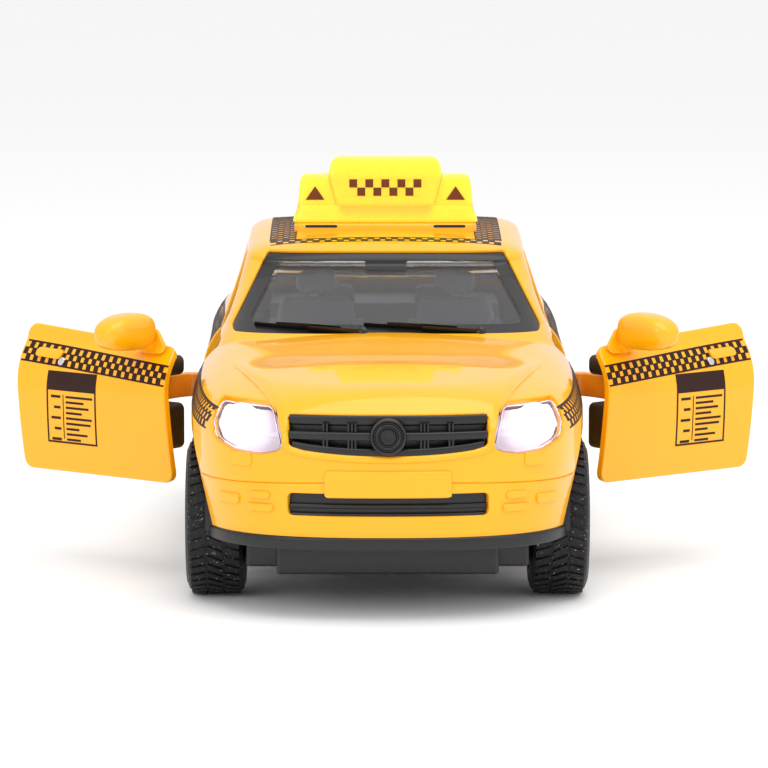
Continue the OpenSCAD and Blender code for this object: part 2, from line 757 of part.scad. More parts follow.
module circuit_board() color("#1F6B3A") {
    block([-board_w, board_y0, board_z], [board_w, board_y0 + board_len, board_z + board_t]);
    block([-chip[0] / 2, board_y0 + 2 * board_t, board_z + board_t],
        [chip[0] / 2, board_y0 + 2 * board_t + chip[1], board_z + board_t + chip[2]]);
    bar_z(coil_r, board_z + board_t, board_z + board_t + coil_h, -0.48 * board_w, board_y0 + board_len / 2);
}

switch_size = [4.4, 3.6, 2.6];
switch_stem = 1.2;

// Switches under the wings, worked by the eyes of the hinge arms
module door_switches() color("#3A3C42")
    both_sides() {
        y1 = pin_y - arm_eye_r - clear;
        block([pin_x - switch_size[0] / 2, y1 - switch_size[1], arm_z1 - switch_size[2]],
            [pin_x + switch_size[0] / 2, y1, arm_z1]);
        stem_y = y1 - switch_size[1] / 2;
        bar_z(switch_stem, arm_z1, lookup(stem_y, shoulder_line) - 1.2 * wall, pin_x - switch_stem, stem_y);
    }

// Wipers along the foot of the windscreen
wiper_r = 0.45;
wiper_z = belt_z - 0.5 * window_r;
wiper_rise = 0.9;
wiper_xs = [[-0.68, -0.4, -0.12], [-0.1, 0.2, 0.48]];
wiper_off = 0.75;

function wiper_point(xs, k) =
    let (x = xs[k] * half_w, z = wiper_z + wiper_rise * (2 - k) / 2)
    [x, cabin_y(x, z) - wiper_off, z];

module wipers() color("#2B2A2E")
    for (xs = wiper_xs)
        for (k = [0 : 2])
            let (
                a = wiper_point(xs, k),
                b = k < 2 ? wiper_point(xs, k + 1) : a + [0, 0.3 * wall, -wiper_off / 2]
            )
            hull() {
                translate(a) sphere(wiper_r, $fn = 10);
                translate(b) sphere(wiper_r, $fn = 10);
            }

// Chassis

lip_inset = 1;
lip_t = 1.6;
lip_z = sill_z - lip_t;
keel_deep = 6.2;
keel_gap = 0.7;
keel_front_in = 15.5;
keel_z = sill_z - keel_deep;
keel_w = tyre_in - keel_gap;
keel_front_y = keel_front_in - half_len;
nose_keel_w = 0.775 * keel_w;
nose_keel_deep = 0.6;
nose_keel_ahead = 3;
nose_keel_z = keel_z - nose_keel_deep;
nose_keel_front_y = keel_front_y - nose_keel_ahead;
nose_keel_rear_y = front_axle_y + 0.5 * wheel_d;
well_gap = 0.8;
well_room = 1.1;
well_half = wheel_d / 2 + well_room;
liner_t = 0.6;
liner_r = arch_r - 2 * fit_gap;
liner_out = tyre_in + 0.65 * tyre_w;
bearing = [4.3, 6, 4.6];
bearing_in = 1.1;
bearing_x1 = keel_w - bearing_in;
bearing_x0 = bearing_x1 - bearing[0];

cell_d = 11.6;
cell_h = 5.4;
// Places between the axles, as shares of the wheelbase
cell_share = 0.416;
speaker_share = 0.706;
cell_y = front_axle_y + cell_share * wheelbase;
cell_gap = 0.2;
cell_pitch = cell_d + cell_gap;
bay_x = 1.5 * cell_pitch + clear;
bay_room = 0.5;
bay_half = cell_d / 2 + bay_room;
cover_t = 1.1;
cover_edge = 1;
cover_tail = 5.2;
cell_z0 = keel_z + cover_t + fit_gap;
cell_z1 = cell_z0 + cell_h;
cover_screw_y = cell_y - bay_half - 0.6 * cover_tail;
small_screw_r = 0.8;
small_head_r = 1.5;
small_head_h = 0.7;
small_screw_len = 4.5;
contact_t = 0.4;

speaker_r = 9.4;
speaker_h = 4;
speaker_y = front_axle_y + speaker_share * wheelbase;
speaker_floor = 1.2;
speaker_hole_r = 0.7;

motor_ahead = 5.6;
motor_y0 = rear_axle_y - motor_ahead;
motor_len = 30.4;
motor_y1 = motor_y0 + motor_len;
motor_up = 0.8;
motor_h = 20.6;
motor_z0 = keel_z + motor_up;
motor_z1 = motor_z0 + motor_h;
motor_half = 8.4;
motor_gap = 0.4;
keel_tail = 1.2;
keel_rear_y = motor_y1 + keel_tail;

screw_head_r = 1.9;
screw_head_h = 1;
screw_len = 9;
board_post_r = 1.5;

function plate_outline(d) = ring(body_steps, lip_inset + d - half_len, half_len - lip_inset - d,
    half_w - lip_inset - d, plan_side_power, plan_end_power);

module chassis_plate() {
    translate([0, 0, lip_z]) linear_extrude(lip_t) polygon(plate_outline(0));
    block([-keel_w, keel_front_y, keel_z], [keel_w, keel_rear_y, lip_z]);
    block([-nose_keel_w, nose_keel_front_y, nose_keel_z], [nose_keel_w, nose_keel_rear_y, lip_z]);
    both_sides()
        for (y = [front_axle_y, rear_axle_y]) {
            block([bearing_x0, y - bearing[1] / 2, lip_z],
                [bearing_x1, y + bearing[1] / 2, lip_z + bearing[2]]);
        }
    both_sides()
        for (y = [board_y0 + board_post_r, board_y0 + board_len - board_post_r])
            bar_z(board_post_r, lip_z, board_z, board_w - board_post_r, y);
}

module wheel_liner(y) {
    difference() {
        bar_x(liner_r, tyre_in - well_gap - liner_t, liner_out, y, axle_z);
        bar_x(liner_r - liner_t, tyre_in - well_gap, liner_out + cut, y, axle_z);
        block([0, y - 2 * liner_r, -liner_r], [half_w + cut, y + 2 * liner_r, sill_z - lip_t / 2]);
        bar_x(axle_r + clear, 0, liner_out, y, axle_z);
    }
}

module chassis() color("#2B2A2E") {
    difference() {
        chassis_plate();
        // Wheel wells, axle bores and the channels between the bearings
        both_sides()
            for (y = [front_axle_y, rear_axle_y])
                block([tyre_in - well_gap, y - well_half, 0], [half_w + cut, y + well_half, sill_z + cut]);
        for (y = [front_axle_y, rear_axle_y]) {
            bar_x(axle_r + run_gap, -tyre_in, tyre_in, y, axle_z);
            block([-bearing_x0, y - 2 * axle_r, axle_z - axle_r - clear],
                [bearing_x0, y + 2 * axle_r, sill_z + cut]);
        }
        // Battery bay and the seat of its cover
        block([-bay_x, cell_y - bay_half, 0], [bay_x, cell_y + bay_half, sill_z + cut]);
        block([-bay_x - cover_edge - fit_gap, cell_y - bay_half - cover_tail - fit_gap, 0],
            [bay_x + cover_edge + fit_gap, cell_y + bay_half + cover_edge + fit_gap,
                keel_z + cover_t + fit_gap]);
        bar_z(small_screw_r, 0, keel_z + small_screw_len, 0, cover_screw_y);
        // Speaker pocket and its sound holes
        bar_z(speaker_r + clear, keel_z + speaker_floor, sill_z + cut, 0, speaker_y);
        for (i = [0 : 6])
            let (a = 60 * i, r = i < 6 ? 0.5 * speaker_r : 0)
            bar_z(speaker_hole_r, 0, keel_z + speaker_floor + cut, r * cos(a), speaker_y + r * sin(a));
        // Motor bay
        block([-motor_half - motor_gap, motor_y0 - motor_gap, 0],
            [motor_half + motor_gap, motor_y1 + motor_gap, sill_z + cut]);
        // Body screws
        for (y = [screw_front_y, screw_rear_y]) {
            bar_z(screw_r + fit_gap / 2, 0, sill_z + cut, 0, y);
            bar_z(screw_head_r + fit_gap, 0, lip_z + screw_head_h / 2, 0, y);
        }
    }
    both_sides() {
        wheel_liner(front_axle_y);
        wheel_liner(rear_axle_y);
    }
}

module chassis_screws() color("#9A9CA0")
    for (y = [screw_front_y, screw_rear_y]) {
        bar_z(screw_r, lip_z + screw_head_h / 2, lip_z + screw_len, 0, y);
        bar_z(screw_head_r, lip_z - screw_head_h / 2, lip_z + screw_head_h / 2, 0, y);
    }

module battery_cover() color("#2B2A2E")
    difference() {
        block([-bay_x - cover_edge, cell_y - bay_half - cover_tail, keel_z],
            [bay_x + cover_edge, cell_y + bay_half + cover_edge, keel_z + cover_t]);
        bar_z(small_screw_r + fit_gap / 2, 0, keel_z + cover_t + cut, 0, cover_screw_y);
        bar_z(small_head_r + fit_gap, 0, keel_z + small_head_h, 0, cover_screw_y);
    }

module battery_cover_screw() color("#9A9CA0") {
    bar_z(small_screw_r, keel_z + small_head_h, keel_z + small_screw_len, 0, cover_screw_y);
    bar_z(small_head_r, keel_z + fit_gap, keel_z + small_head_h, 0, cover_screw_y);
}

module button_cells() color("#C4C7CB")
    for (i = [-1 : 1])
        bar_z(cell_d / 2, cell_z0, cell_z1, i * cell_pitch, cell_y);

module battery_contacts() color("#C9A14A") {
    block([-bay_x, cell_y - bay_half / 2, cell_z1], [bay_x, cell_y + bay_half / 2, cell_z1 + contact_t]);
    both_sides()
        block([bay_x - cell_d / 2, cell_y - bay_half - 3 * cover_edge, max(cell_z1, sill_z)],
            [bay_x, cell_y, max(cell_z1, sill_z) + contact_t]);
    both_sides()
        block([bay_x - cell_d / 2, cell_y - bay_half - 3 * cover_edge, sill_z],
            [bay_x, cell_y - bay_half - cover_edge, max(cell_z1, sill_z) + contact_t]);
}

module speaker() color("#4A4C52") {
    z0 = keel_z + speaker_floor;
    bar_z(speaker_r, z0, z0 + 0.45 * speaker_h, 0, speaker_y);
    bar_z(0.6 * speaker_r, z0 + 0.45 * speaker_h, z0 + speaker_h, 0, speaker_y);
}

// Interior

tub_t = 1.2;
tub_up = 1.7;
tub_gap = 1;
tub_back = 7;
tub_motor_gap = 3;
tub_liner_gap = 0.8;
tub_tail_gap = 0.6;
tub_z = sill_z + tub_up;
tub_w = trim_in_x - tub_gap;
tub_front_y = cabin_front_y + tub_back;
tub_rear_y = motor_y0 - tub_motor_gap;
tub_mid_y = rear_axle_y - liner_r - tub_liner_gap;
tub_tail_w = tyre_in - well_gap - liner_t - tub_tail_gap;
tub_wall_h = 6;
tub_foot_len = 5;
dash_w = pin_x - 1.5 * arm_neck;
dash_down = 1.2;
dash_top = cowl_z - dash_down;
dash_len = 8.5;
dash_bulge = 0.4;
seat_x0 = 3.6;
seat_x1 = 18.2;
seat_down = 0.4;
seat_top = cowl_z - seat_down;
seat_ahead = 3;
seat_len = 17.6;
seat_h = 6.2;
bench_len = 18;
bench_h = 6.6;
floor_z = tub_z + tub_t;
dash_h = dash_top - tub_z;
// Side profiles of the dashboard, a front seat and the rear bench, in shares of their lengths and heights
dash = [
    [tub_front_y, tub_z], [tub_front_y, dash_top], [tub_front_y + 0.7 * dash_len, dash_top + dash_bulge],
    [tub_front_y + dash_len, dash_top - 0.15 * dash_h],
    [tub_front_y + 0.88 * dash_len, dash_top - 0.39 * dash_h],
    [tub_front_y + 0.24 * dash_len, dash_top - 0.49 * dash_h], [tub_front_y + 0.24 * dash_len, tub_z]
];
seat_y = cell_y - seat_ahead;
seat = [
    [seat_y, floor_z - tub_t / 2], [seat_y, floor_z + seat_h],
    [seat_y + 0.085 * seat_len, floor_z + 1.1 * seat_h],
    [seat_y + 0.625 * seat_len, floor_z + 0.84 * seat_h], [seat_y + 0.85 * seat_len, seat_top],
    [seat_y + seat_len, seat_top], [seat_y + 0.93 * seat_len, floor_z + 0.65 * seat_h],
    [seat_y + 0.93 * seat_len, floor_z - tub_t / 2]
];
bench_y = tub_rear_y - bench_len;
bench = [
    [bench_y, floor_z - tub_t / 2], [bench_y, floor_z + bench_h],
    [bench_y + 0.085 * bench_len, floor_z + 1.1 * bench_h],
    [bench_y + 0.61 * bench_len, floor_z + 0.85 * bench_h], [bench_y + 0.83 * bench_len, seat_top],
    [tub_rear_y, seat_top], [tub_rear_y, floor_z - tub_t / 2]
];
shelf_len = 19;

module tub_solid() {
    block([-tub_w, tub_front_y + 0.7 * dash_len, tub_z], [tub_w, tub_mid_y, floor_z]);
    block([-tub_tail_w, tub_front_y, tub_z], [tub_tail_w, tub_rear_y, floor_z]);
    both_sides() {
        block([tub_w - tub_t, seat_y, tub_z], [tub_w, tub_mid_y, floor_z + tub_wall_h]);
        block([tub_w - tub_t, tub_mid_y - tub_foot_len, sill_z], [tub_w, tub_mid_y, floor_z]);
        profile_x(seat, seat_x0, seat_x1);
    }
    profile_x(dash, -dash_w, dash_w);
    profile_x(bench, -tub_tail_w, tub_tail_w);
    block([-tub_tail_w, tub_rear_y - tub_t, seat_top - tub_t],
        [tub_tail_w, tub_rear_y + shelf_len, seat_top]);
}

wheel_ring_r = 4.7;
wheel_ring_t = 0.65;
wheel_tilt_angle = 65;
column_len = 5.5;
column_r = 0.8;
helm_back = 12.5;
helm_down = 5;
helm = [(seat_x0 + seat_x1) / 2, tub_front_y + helm_back, dash_top - helm_down];

// The tub, with the hole that the steering column is pushed into
module interior_tub() color("#6F6E73")
    difference() {
        tub_solid();
        translate(helm) rotate([wheel_tilt_angle, 0, 0]) cylinder(r = column_r, h = column_len);
    }

module steering_wheel() color("#2B2A2E")
    translate(helm)
        rotate([wheel_tilt_angle, 0, 0]) {
            rotate_extrude() translate([wheel_ring_r, 0]) circle(wheel_ring_t, $fn = 16);
            cylinder(r = 2 * column_r, h = 2 * column_r, center = true);
            cylinder(r = column_r, h = column_len);
            for (a = [90, 210, 330])
                rotate([0, 0, a])
                    translate([0, -column_r / 2, -column_r / 2]) cube([wheel_ring_r, column_r, column_r]);
        }

// Pull-back motor

teeth = [10, 20, 10, 20];
pressure_angle = 20;
backlash = 0.1;
mesh_gap = 0.06;
arbor_r = 0.8;
case_t = 1.1;
idler_angle = 30;
drum_angle = 18;

function involute(a) = tan(a) * 180 / PI - a;

// Outline of an involute gear with a tooth on its first axis
function gear_outline(z, m) =
    let (
        rp = z * m / 2, rb = rp * cos(pressure_angle), ro = rp + m, rr = rp - 1.2 * m, r0 = max(rb, rr),
        half = 90 / z - backlash / (4 * rp) * 180 / PI + involute(pressure_angle), n = 4
    )
    [for (i = [0 : z - 1], s = [-1, 1], k = s < 0 ? [0 : n + 1] : [n + 1 : -1 : 0])
        let (
            r = k == 0 ? rr : blend(r0, ro, (k - 1) / n),
            a = k == 0 ? half : half - involute(acos(min(1, rb / r)))
        )
        r * [cos(360 * i / z + s * a), sin(360 * i / z + s * a)]];

module gear(z, m, turn, x, w, at) {
    translate([x, at[0], at[1]])
        rotate([90, 0, 90])
            rotate([0, 0, turn])
                linear_extrude(w) polygon(gear_outline(z, m));
}

axle_at = [rear_axle_y, axle_z];
pitch_a = gear_m * (teeth[0] + teeth[1]) / 2 + mesh_gap;
pitch_b = gear_m * (teeth[2] + teeth[3]) / 2 + mesh_gap;
idler_at = axle_at + pitch_a * [cos(idler_angle), sin(idler_angle)];
drum_at = idler_at + pitch_b * [cos(drum_angle), sin(drum_angle)];
gear_x0 = -1.6 * gear_w;
gear_x1 = gear_x0 + gear_w + clear;
spring_x0 = gear_x1 + gear_w + clear;
hub_r = 2.1;
spring_t = 0.35;
spring_turn_count = 4;
spring_r0 = hub_r + clear + spring_t;
spring_r1 = gear_m * teeth[3] / 2;
spring_w = motor_half - case_t - clear - spring_x0;
spring_step_count = 24;

module axle_pinion() color("#E8E4D8")
    difference() {
        gear(teeth[0], gear_m, idler_angle, gear_x0, gear_w, axle_at);
        bar_x(axle_r, gear_x0 - cut, gear_x0 + gear_w + cut, axle_at[0], axle_at[1]);
    }

module idler_gear() color("#E8E4D8")
    difference() {
        union() {
            gear(teeth[1], gear_m, idler_angle + 180 + 180 / teeth[1], gear_x0, gear_w, idler_at);
            gear(teeth[2], gear_m, drum_angle, gear_x0 + gear_w - clear, gear_w + 2 * clear, idler_at);
        }
        bar_x(arbor_r + run_gap, gear_x0 - cut, gear_x1 + gear_w + cut, idler_at[0], idler_at[1]);
    }

module drum_gear() color("#E8E4D8")
    difference() {
        union() {
            gear(teeth[3], gear_m, drum_angle + 180 + 180 / teeth[3], gear_x1, gear_w, drum_at);
            bar_x(hub_r, gear_x1 + gear_w - clear, spring_x0 + spring_w, drum_at[0], drum_at[1]);
        }
        bar_x(arbor_r + run_gap, gear_x1 - cut, spring_x0 + spring_w + cut, drum_at[0], drum_at[1]);
    }

function spiral(r0, r1, turns, n) = [
    for (i = [0 : n * turns])
        let (t = i / (n * turns), a = 360 * turns * t) blend(r0, r1, t) * [cos(a), sin(a)]
];

module mainspring() color("#6B7076")
    translate([spring_x0, drum_at[0], drum_at[1]])
        rotate([90, 0, 90])
            linear_extrude(spring_w) {
                outer = spiral(spring_r0, spring_r1, spring_turn_count, spring_step_count);
                inner = spiral(spring_r0 - spring_t, spring_r1 - spring_t,
                    spring_turn_count, spring_step_count);
                polygon(concat(outer, [for (i = [len(inner) - 1 : -1 : 0]) inner[i]]));
                // Outer end, caught by the case
                translate([spring_r1 - spring_t, -spring_t / 2])
                    square([motor_y1 - case_t - drum_at[0] - spring_r1 + spring_t, spring_t]);
            }

module motor_arbors() color("#9A9CA0")
    for (at = [idler_at, drum_at])
        bar_x(arbor_r, -motor_half, motor_half, at[0], at[1]);

lug = [5, 2, 1.5];

module case_half(sign) {
    x0 = sign > 0 ? 0 : -motor_half;
    x1 = sign > 0 ? motor_half : 0;
    difference() {
        union() {
            block([x0, motor_y0, motor_z0], [x1, motor_y1, motor_z1]);
            block([min(0, sign * lug[0]), motor_y0 - lug[1], sill_z],
                [max(0, sign * lug[0]), motor_y0 + case_t, sill_z + lug[2]]);
            block([sign > 0 ? post_r + clear : -lug[0], motor_y1 - case_t, sill_z],
                [sign > 0 ? lug[0] : -post_r - clear, motor_y1 + lug[1], sill_z + lug[2]]);
        }
        block([sign > 0 ? -cut : x0 + case_t, motor_y0 + case_t, motor_z0 + case_t],
            [sign > 0 ? x1 - case_t : cut, motor_y1 - case_t, motor_z1 - case_t]);
        bar_x(axle_r + run_gap, -half_w, half_w, axle_at[0], axle_at[1]);
        for (at = [idler_at, drum_at])
            bar_x(arbor_r, -half_w, half_w, at[0], at[1]);
    }
}

module motor_case_left() color("#D9D4C4") case_half(1);
module motor_case_right() color("#CFC9B8") case_half(-1);

// Wheels

shoulder = 1.1;
rim_r = rim_d / 2;
axle_in = 2.2;
axle_end = track_out / 2 - axle_in;
hub_out_r = 2.4;
dish = 1.6;
disc_t = 2;
rim_wall = 1;
spoke_count = 5;
spoke_hole_r = 0.24 * rim_r;
rim_bead = 0.5;

module tyre() {
    x0 = tyre_in;
    x1 = track_out / 2;
    r = wheel_d / 2;
    rotate([0, 90, 0])
        rotate_extrude($fn = 96)
            polygon([
                [rim_r, x0], [r - shoulder, x0], [r, x0 + shoulder], [r, x1 - shoulder], [r - shoulder, x1],
                [rim_r, x1]
            ]);
}

module rim() {
    x0 = tyre_in;
    x1 = track_out / 2;
    face = x1 - dish;
    difference() {
        union() {
            difference() {
                bar_x(rim_r, x0, x1 - rim_bead, 0, 0, $fn = 96);
                bar_x(rim_r - rim_wall, x0 - cut, face - disc_t, 0, 0, $fn = 96);
                bar_x(rim_r - rim_wall, face, x1 + cut, 0, 0, $fn = 96);
            }
            bar_x(hub_out_r, x0, face + dish / 2, 0, 0);
        }
        bar_x(axle_r, x0 - cut, axle_end, 0, 0);
        for (i = [0 : spoke_count - 1])
            let (a = 90 + 360 * i / spoke_count)
            bar_x(spoke_hole_r, face - disc_t - cut, face + cut,
                0.62 * rim_r * cos(a), 0.62 * rim_r * sin(a));
    }
}

module on_axle(y) translate([0, y, axle_z]) children();

module front_left_tyre() color("#26262A") on_axle(front_axle_y) tyre();
module front_right_tyre() color("#26262A") mirror([1, 0, 0]) on_axle(front_axle_y) tyre();
module rear_left_tyre() color("#26262A") on_axle(rear_axle_y) tyre();
module rear_right_tyre() color("#26262A") mirror([1, 0, 0]) on_axle(rear_axle_y) tyre();
module front_left_rim() color("#C8CBD0") on_axle(front_axle_y) rim();
module front_right_rim() color("#C8CBD0") mirror([1, 0, 0]) on_axle(front_axle_y) rim();
module rear_left_rim() color("#C8CBD0") on_axle(rear_axle_y) rim();
module rear_right_rim() color("#C8CBD0") mirror([1, 0, 0]) on_axle(rear_axle_y) rim();
module front_axle() color("#9A9CA0") bar_x(axle_r, -axle_end, axle_end, front_axle_y, axle_z);
module rear_axle() color("#9A9CA0") bar_x(axle_r, -axle_end, axle_end, rear_axle_y, axle_z);

// The parts that are drawn

body_shell();
window_insert();
roof_sign();
grille();
lower_grille();
wipers();
left_headlight_lens();
right_headlight_lens();
headlight_reflectors();
headlight_leds();
led_leads();
left_tail_light();
right_tail_light();
interior_tub();
steering_wheel();
circuit_board();
door_switches();
chassis();
chassis_screws();
battery_cover();
battery_cover_screw();
button_cells();
battery_contacts();
speaker();
motor_case_left();
motor_case_right();
motor_arbors();
mainspring();
axle_pinion();
idler_gear();
drum_gear();
front_axle();
rear_axle();
front_left_tyre();
front_right_tyre();
rear_left_tyre();
rear_right_tyre();
front_left_rim();
front_right_rim();
rear_left_rim();
rear_right_rim();
hinge_pins();
left_door();
right_door();
left_door_trim();
right_door_trim();
left_mirror();
right_mirror();
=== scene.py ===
# %% [markdown]
# # A die-cast toy taxi
# The car is a hand-sized pull-back toy: a zinc body sprayed yellow, a clear glazing insert, a black
# plastic chassis, soft tyres and a translucent roof sign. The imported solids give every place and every
# moving body. This script gives them their looks: panels with rolled edges, shut lines, printed checkers
# and finishes. Everything is drawn in millimetres and turned to metres once, where a mesh is made.

# %% Load the frame
import json
import math

import bpy
import numpy as np
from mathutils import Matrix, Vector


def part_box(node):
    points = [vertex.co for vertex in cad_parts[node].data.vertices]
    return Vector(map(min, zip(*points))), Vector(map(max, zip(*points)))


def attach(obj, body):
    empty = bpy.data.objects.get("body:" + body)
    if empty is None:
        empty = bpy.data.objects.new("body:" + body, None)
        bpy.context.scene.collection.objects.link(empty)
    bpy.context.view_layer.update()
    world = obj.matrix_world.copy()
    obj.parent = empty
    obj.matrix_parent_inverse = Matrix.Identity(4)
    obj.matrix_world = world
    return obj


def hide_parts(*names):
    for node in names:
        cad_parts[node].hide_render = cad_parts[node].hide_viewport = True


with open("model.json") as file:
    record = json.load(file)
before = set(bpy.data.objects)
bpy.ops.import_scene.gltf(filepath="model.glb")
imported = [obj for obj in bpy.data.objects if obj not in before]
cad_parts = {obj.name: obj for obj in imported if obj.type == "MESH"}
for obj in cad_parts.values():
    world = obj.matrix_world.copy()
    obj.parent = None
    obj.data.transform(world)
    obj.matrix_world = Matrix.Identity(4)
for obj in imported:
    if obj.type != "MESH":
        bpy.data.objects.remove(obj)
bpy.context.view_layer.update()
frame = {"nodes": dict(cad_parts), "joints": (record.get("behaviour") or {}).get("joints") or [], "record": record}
MM = 0.001


def box_mm(*nodes):
    """Lowest and highest corner of some solids, in millimetres"""
    corners = [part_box(n) for n in nodes]
    low = np.min([np.array(c[0]) for c in corners], axis=0)
    high = np.max([np.array(c[1]) for c in corners], axis=0)
    return low / MM, high / MM


# %% [markdown]
# ## Sizes
# The main sizes are read back from the solids, so the looks follow them. They could be typed in again,
# but then a resized solid would leave its looks behind. What the solids don't say by themselves, such as
# how the bonnet rises, is written as shares of those sizes or in millimetres.

# %% Sizes from the frame
shell_low, shell_high = box_mm("body_shell")
half_w, half_len, roof_z = shell_high
sill_z = shell_low[2]
tyre_low, tyre_high = box_mm("front_left_tyre")
tyre_r = (tyre_high[2] - tyre_low[2]) / 2
axle_z = tyre_low[2] + tyre_r
front_axle_y = (tyre_low[1] + tyre_high[1]) / 2
rear_axle_y = sum(box_mm("rear_left_tyre")[i][1] for i in (0, 1)) / 2
tyre_in, tyre_out = tyre_low[0], tyre_high[0]
joints = {j["name"]: j for j in frame["joints"]}
pin_x, pin_y = np.array(joints["left_door_hinge"]["pos_m"][:2]) / MM
door_open = math.radians(max(joints["left_door_hinge"]["range_deg"]))
arch_room, wall = 1.8, 1.3
arch_r = tyre_r + arch_room
print("half width", half_w, "half length", half_len, "axles at", front_axle_y, rear_axle_y)

# %% [markdown]
# ## Surfaces by formula
# A car body is smooth, so it is drawn as formulas: an outline seen from above that shrinks as it climbs.
# Each formula takes two parameters, along the outline and up the side, and a dense grid over them gives
# the panel. A body could also be pushed into shape by hand from a box with a subdivision modifier.
# Formulas were chosen because other pieces, such as prints and lamps, can then ask where the paint lies
# and sit on it exactly.

# %% Curves along the car
def through(knots):
    """A smooth curve through a few (station, value) points"""
    at, value = np.array(knots, float).T
    slope = np.gradient(value, at)

    def curve(y):
        y = np.clip(y, at[0], at[-1])
        k = np.clip(np.searchsorted(at, y, side="right") - 1, 0, len(at) - 2)
        h = at[k + 1] - at[k]
        t = (y - at[k]) / h
        start = value[k] * (1 + 2 * t) * (1 - t) ** 2 + slope[k] * h * t * (1 - t) ** 2
        return start + value[k + 1] * t * t * (3 - 2 * t) + slope[k + 1] * h * t * t * (t - 1)

    return curve


def ramp(t):
    """Smooth step from 0 to 1"""
    t = np.clip(t, 0, 1)
    return t * t * (3 - 2 * t)

# %% The shoulder's height and roundness along the car
nose_z, cowl_z, deck_z = 30.3, 35.4, 37.6
reach, shoulder_drop, crown, side_tuck = 9.0, 8.0, 0.9, 1.1
shoulder = through([
    (-half_len, nose_z),
    (-0.69 * half_len, nose_z + 0.56 * (cowl_z - nose_z)),
    (-0.43 * half_len, cowl_z),
    (0.1 * half_len, cowl_z + 0.45 * (deck_z - cowl_z)),
    (0.75 * half_len, deck_z),
    (half_len, deck_z - crown),
])
drops = through([
    (share * half_len, part * shoulder_drop)
    for share, part in ((-1, 0.53), (-0.78, 0.8), (-0.5, 1), (0.75, 1), (1, 0.7))
])
print("shoulder from", shoulder(-half_len), "at the nose to", shoulder(half_len), "at the tail")

# %% Outlines seen from above
def outline(side_power, end_power):
    """One side of a squared oval from front to rear, by arc length, as shares of its half sizes"""
    along = np.linspace(-1, 1, 4001)
    wide = np.linspace(0, 1, 2001)
    bow = (1 - wide ** side_power) ** (1 / end_power)
    xs = np.concatenate([(1 - np.abs(along) ** end_power) ** (1 / side_power), wide, wide])
    ys = np.concatenate([along, -bow, bow])
    order = np.argsort(np.arctan2(xs, -ys), kind="stable")
    xs, ys = xs[order], ys[order]
    length = np.concatenate([[0], np.cumsum(np.hypot(np.diff(xs) * half_w, np.diff(ys) * half_len))])
    length /= length[-1]
    return lambda s: (np.interp(s, length, xs), np.interp(s, length, ys))


body_side, body_end = 2.4, 8
cabin_side, cabin_end = 4, 12
body_ring = outline(body_side, body_end)
cabin_ring = outline(cabin_side, cabin_end)
print("a quarter round the body lies at", [round(float(v), 2) for v in body_ring(0.25)])

# %% The lower body
crease_front, crease_rear = np.array([16.2, -66.0]), np.array([22.5, -44.0])
bulge_high, bulge_edge = 0.75, 1.1
bulge_front, bulge_rear = -70.5, -40


def bonnet_bulge(x, y):
    """The bonnet's raised middle, with a crease on each side that fades towards the screen"""
    run = (crease_rear - crease_front) / np.linalg.norm(crease_rear - crease_front)
    inward = (np.abs(x) - crease_front[0]) * -run[1] + (y - crease_front[1]) * run[0]
    ends = ramp((y - bulge_front) / 4) * ramp((bulge_rear - y) / 14)
    return bulge_high * ramp((inward + 0.3) / bulge_edge) * ends


def body_point(uv):
    """Up the side (0 to 1), round the shoulder (1 to 2), then in over the bonnet and boot (2 to 3)"""
    wide, along = body_ring(uv[:, 0])
    up = np.clip(uv[:, 1], 0, 1)
    turn = np.clip(uv[:, 1] - 1, 0, 1) * math.pi / 2
    deck = np.clip(uv[:, 1] - 2, 0, 1)
    inset = side_tuck * (1 - up) ** 2 + reach * (1 - np.cos(turn)) + deck * (half_w - reach)
    x = wide * (half_w - inset)
    y = along * (half_len - inset)
    top, drop = shoulder(y), drops(y)
    rise = crown * np.maximum(0, 1 - (x / (half_w - reach)) ** 2) + bonnet_bulge(x, y)
    z = sill_z + (top - drop - sill_z) * up + (drop + rise) * np.sin(turn)
    return np.stack([x, y, z], 1)

# %% Where the body's side, nose and tail lie
def tucked(y, z):
    """How far the side lies inside the widest outline, at a station and a height"""
    top, drop = shoulder(y), drops(y)
    below = top - drop
    low = side_tuck * (np.maximum(below - z, 0) / (below - sill_z)) ** 2
    lean = np.clip(1 - np.maximum(top - z, 0) / drop, 0, 1)
    return np.where(z < below, low, reach * (1 - np.sqrt(1 - lean ** 2)))


def side_x(y, z):
    """Half width of the body at a station and a height"""
    inset = tucked(y, z)
    share = np.minimum(1, np.abs(y) / (half_len - inset))
    return (half_w - inset) * (1 - share ** body_end) ** (1 / body_side)


def end_y(x, z, sign):
    """Where the nose (sign -1) or the tail (sign 1) lies at a place across and a height"""
    y = np.full(np.shape(x), sign * half_len, float)
    for _ in range(14):
        inset = tucked(y, z)
        share = np.minimum(1, np.abs(x) / (half_w - inset))
        y = sign * (half_len - inset) * (1 - share ** body_side) ** (1 / body_end)
    return y


def nose_y(x, z):
    """Where the nose lies at one place"""
    return end_y(np.array([x]), np.array([z]), -1)[0]


print("nose at", round(float(nose_y(0.0, 20.0)), 2))

# %% The cabin
cabin_foot_z = cowl_z - 2.4 * crown
cabin_y = (-0.483 * half_len, 0.76 * half_len)
roof_y = (-0.145 * half_len, 0.45 * half_len)
cabin_w, roof_w = 0.905 * half_w, 0.745 * half_w
roof_reach, roof_drop, roof_crown, roof_fall = 4.2, 2.0, 0.5, 3.2
roof_base = roof_z - roof_crown
roof_line = through([
    (share * half_len, roof_base - fall * roof_fall) for share, fall in (
        (-0.165, 0.85), (-0.11, 0.68), (0.03, 0.36), (0.17, 0.09), (0.28, 0), (0.4, 0.2), (0.5, 0.6))
])


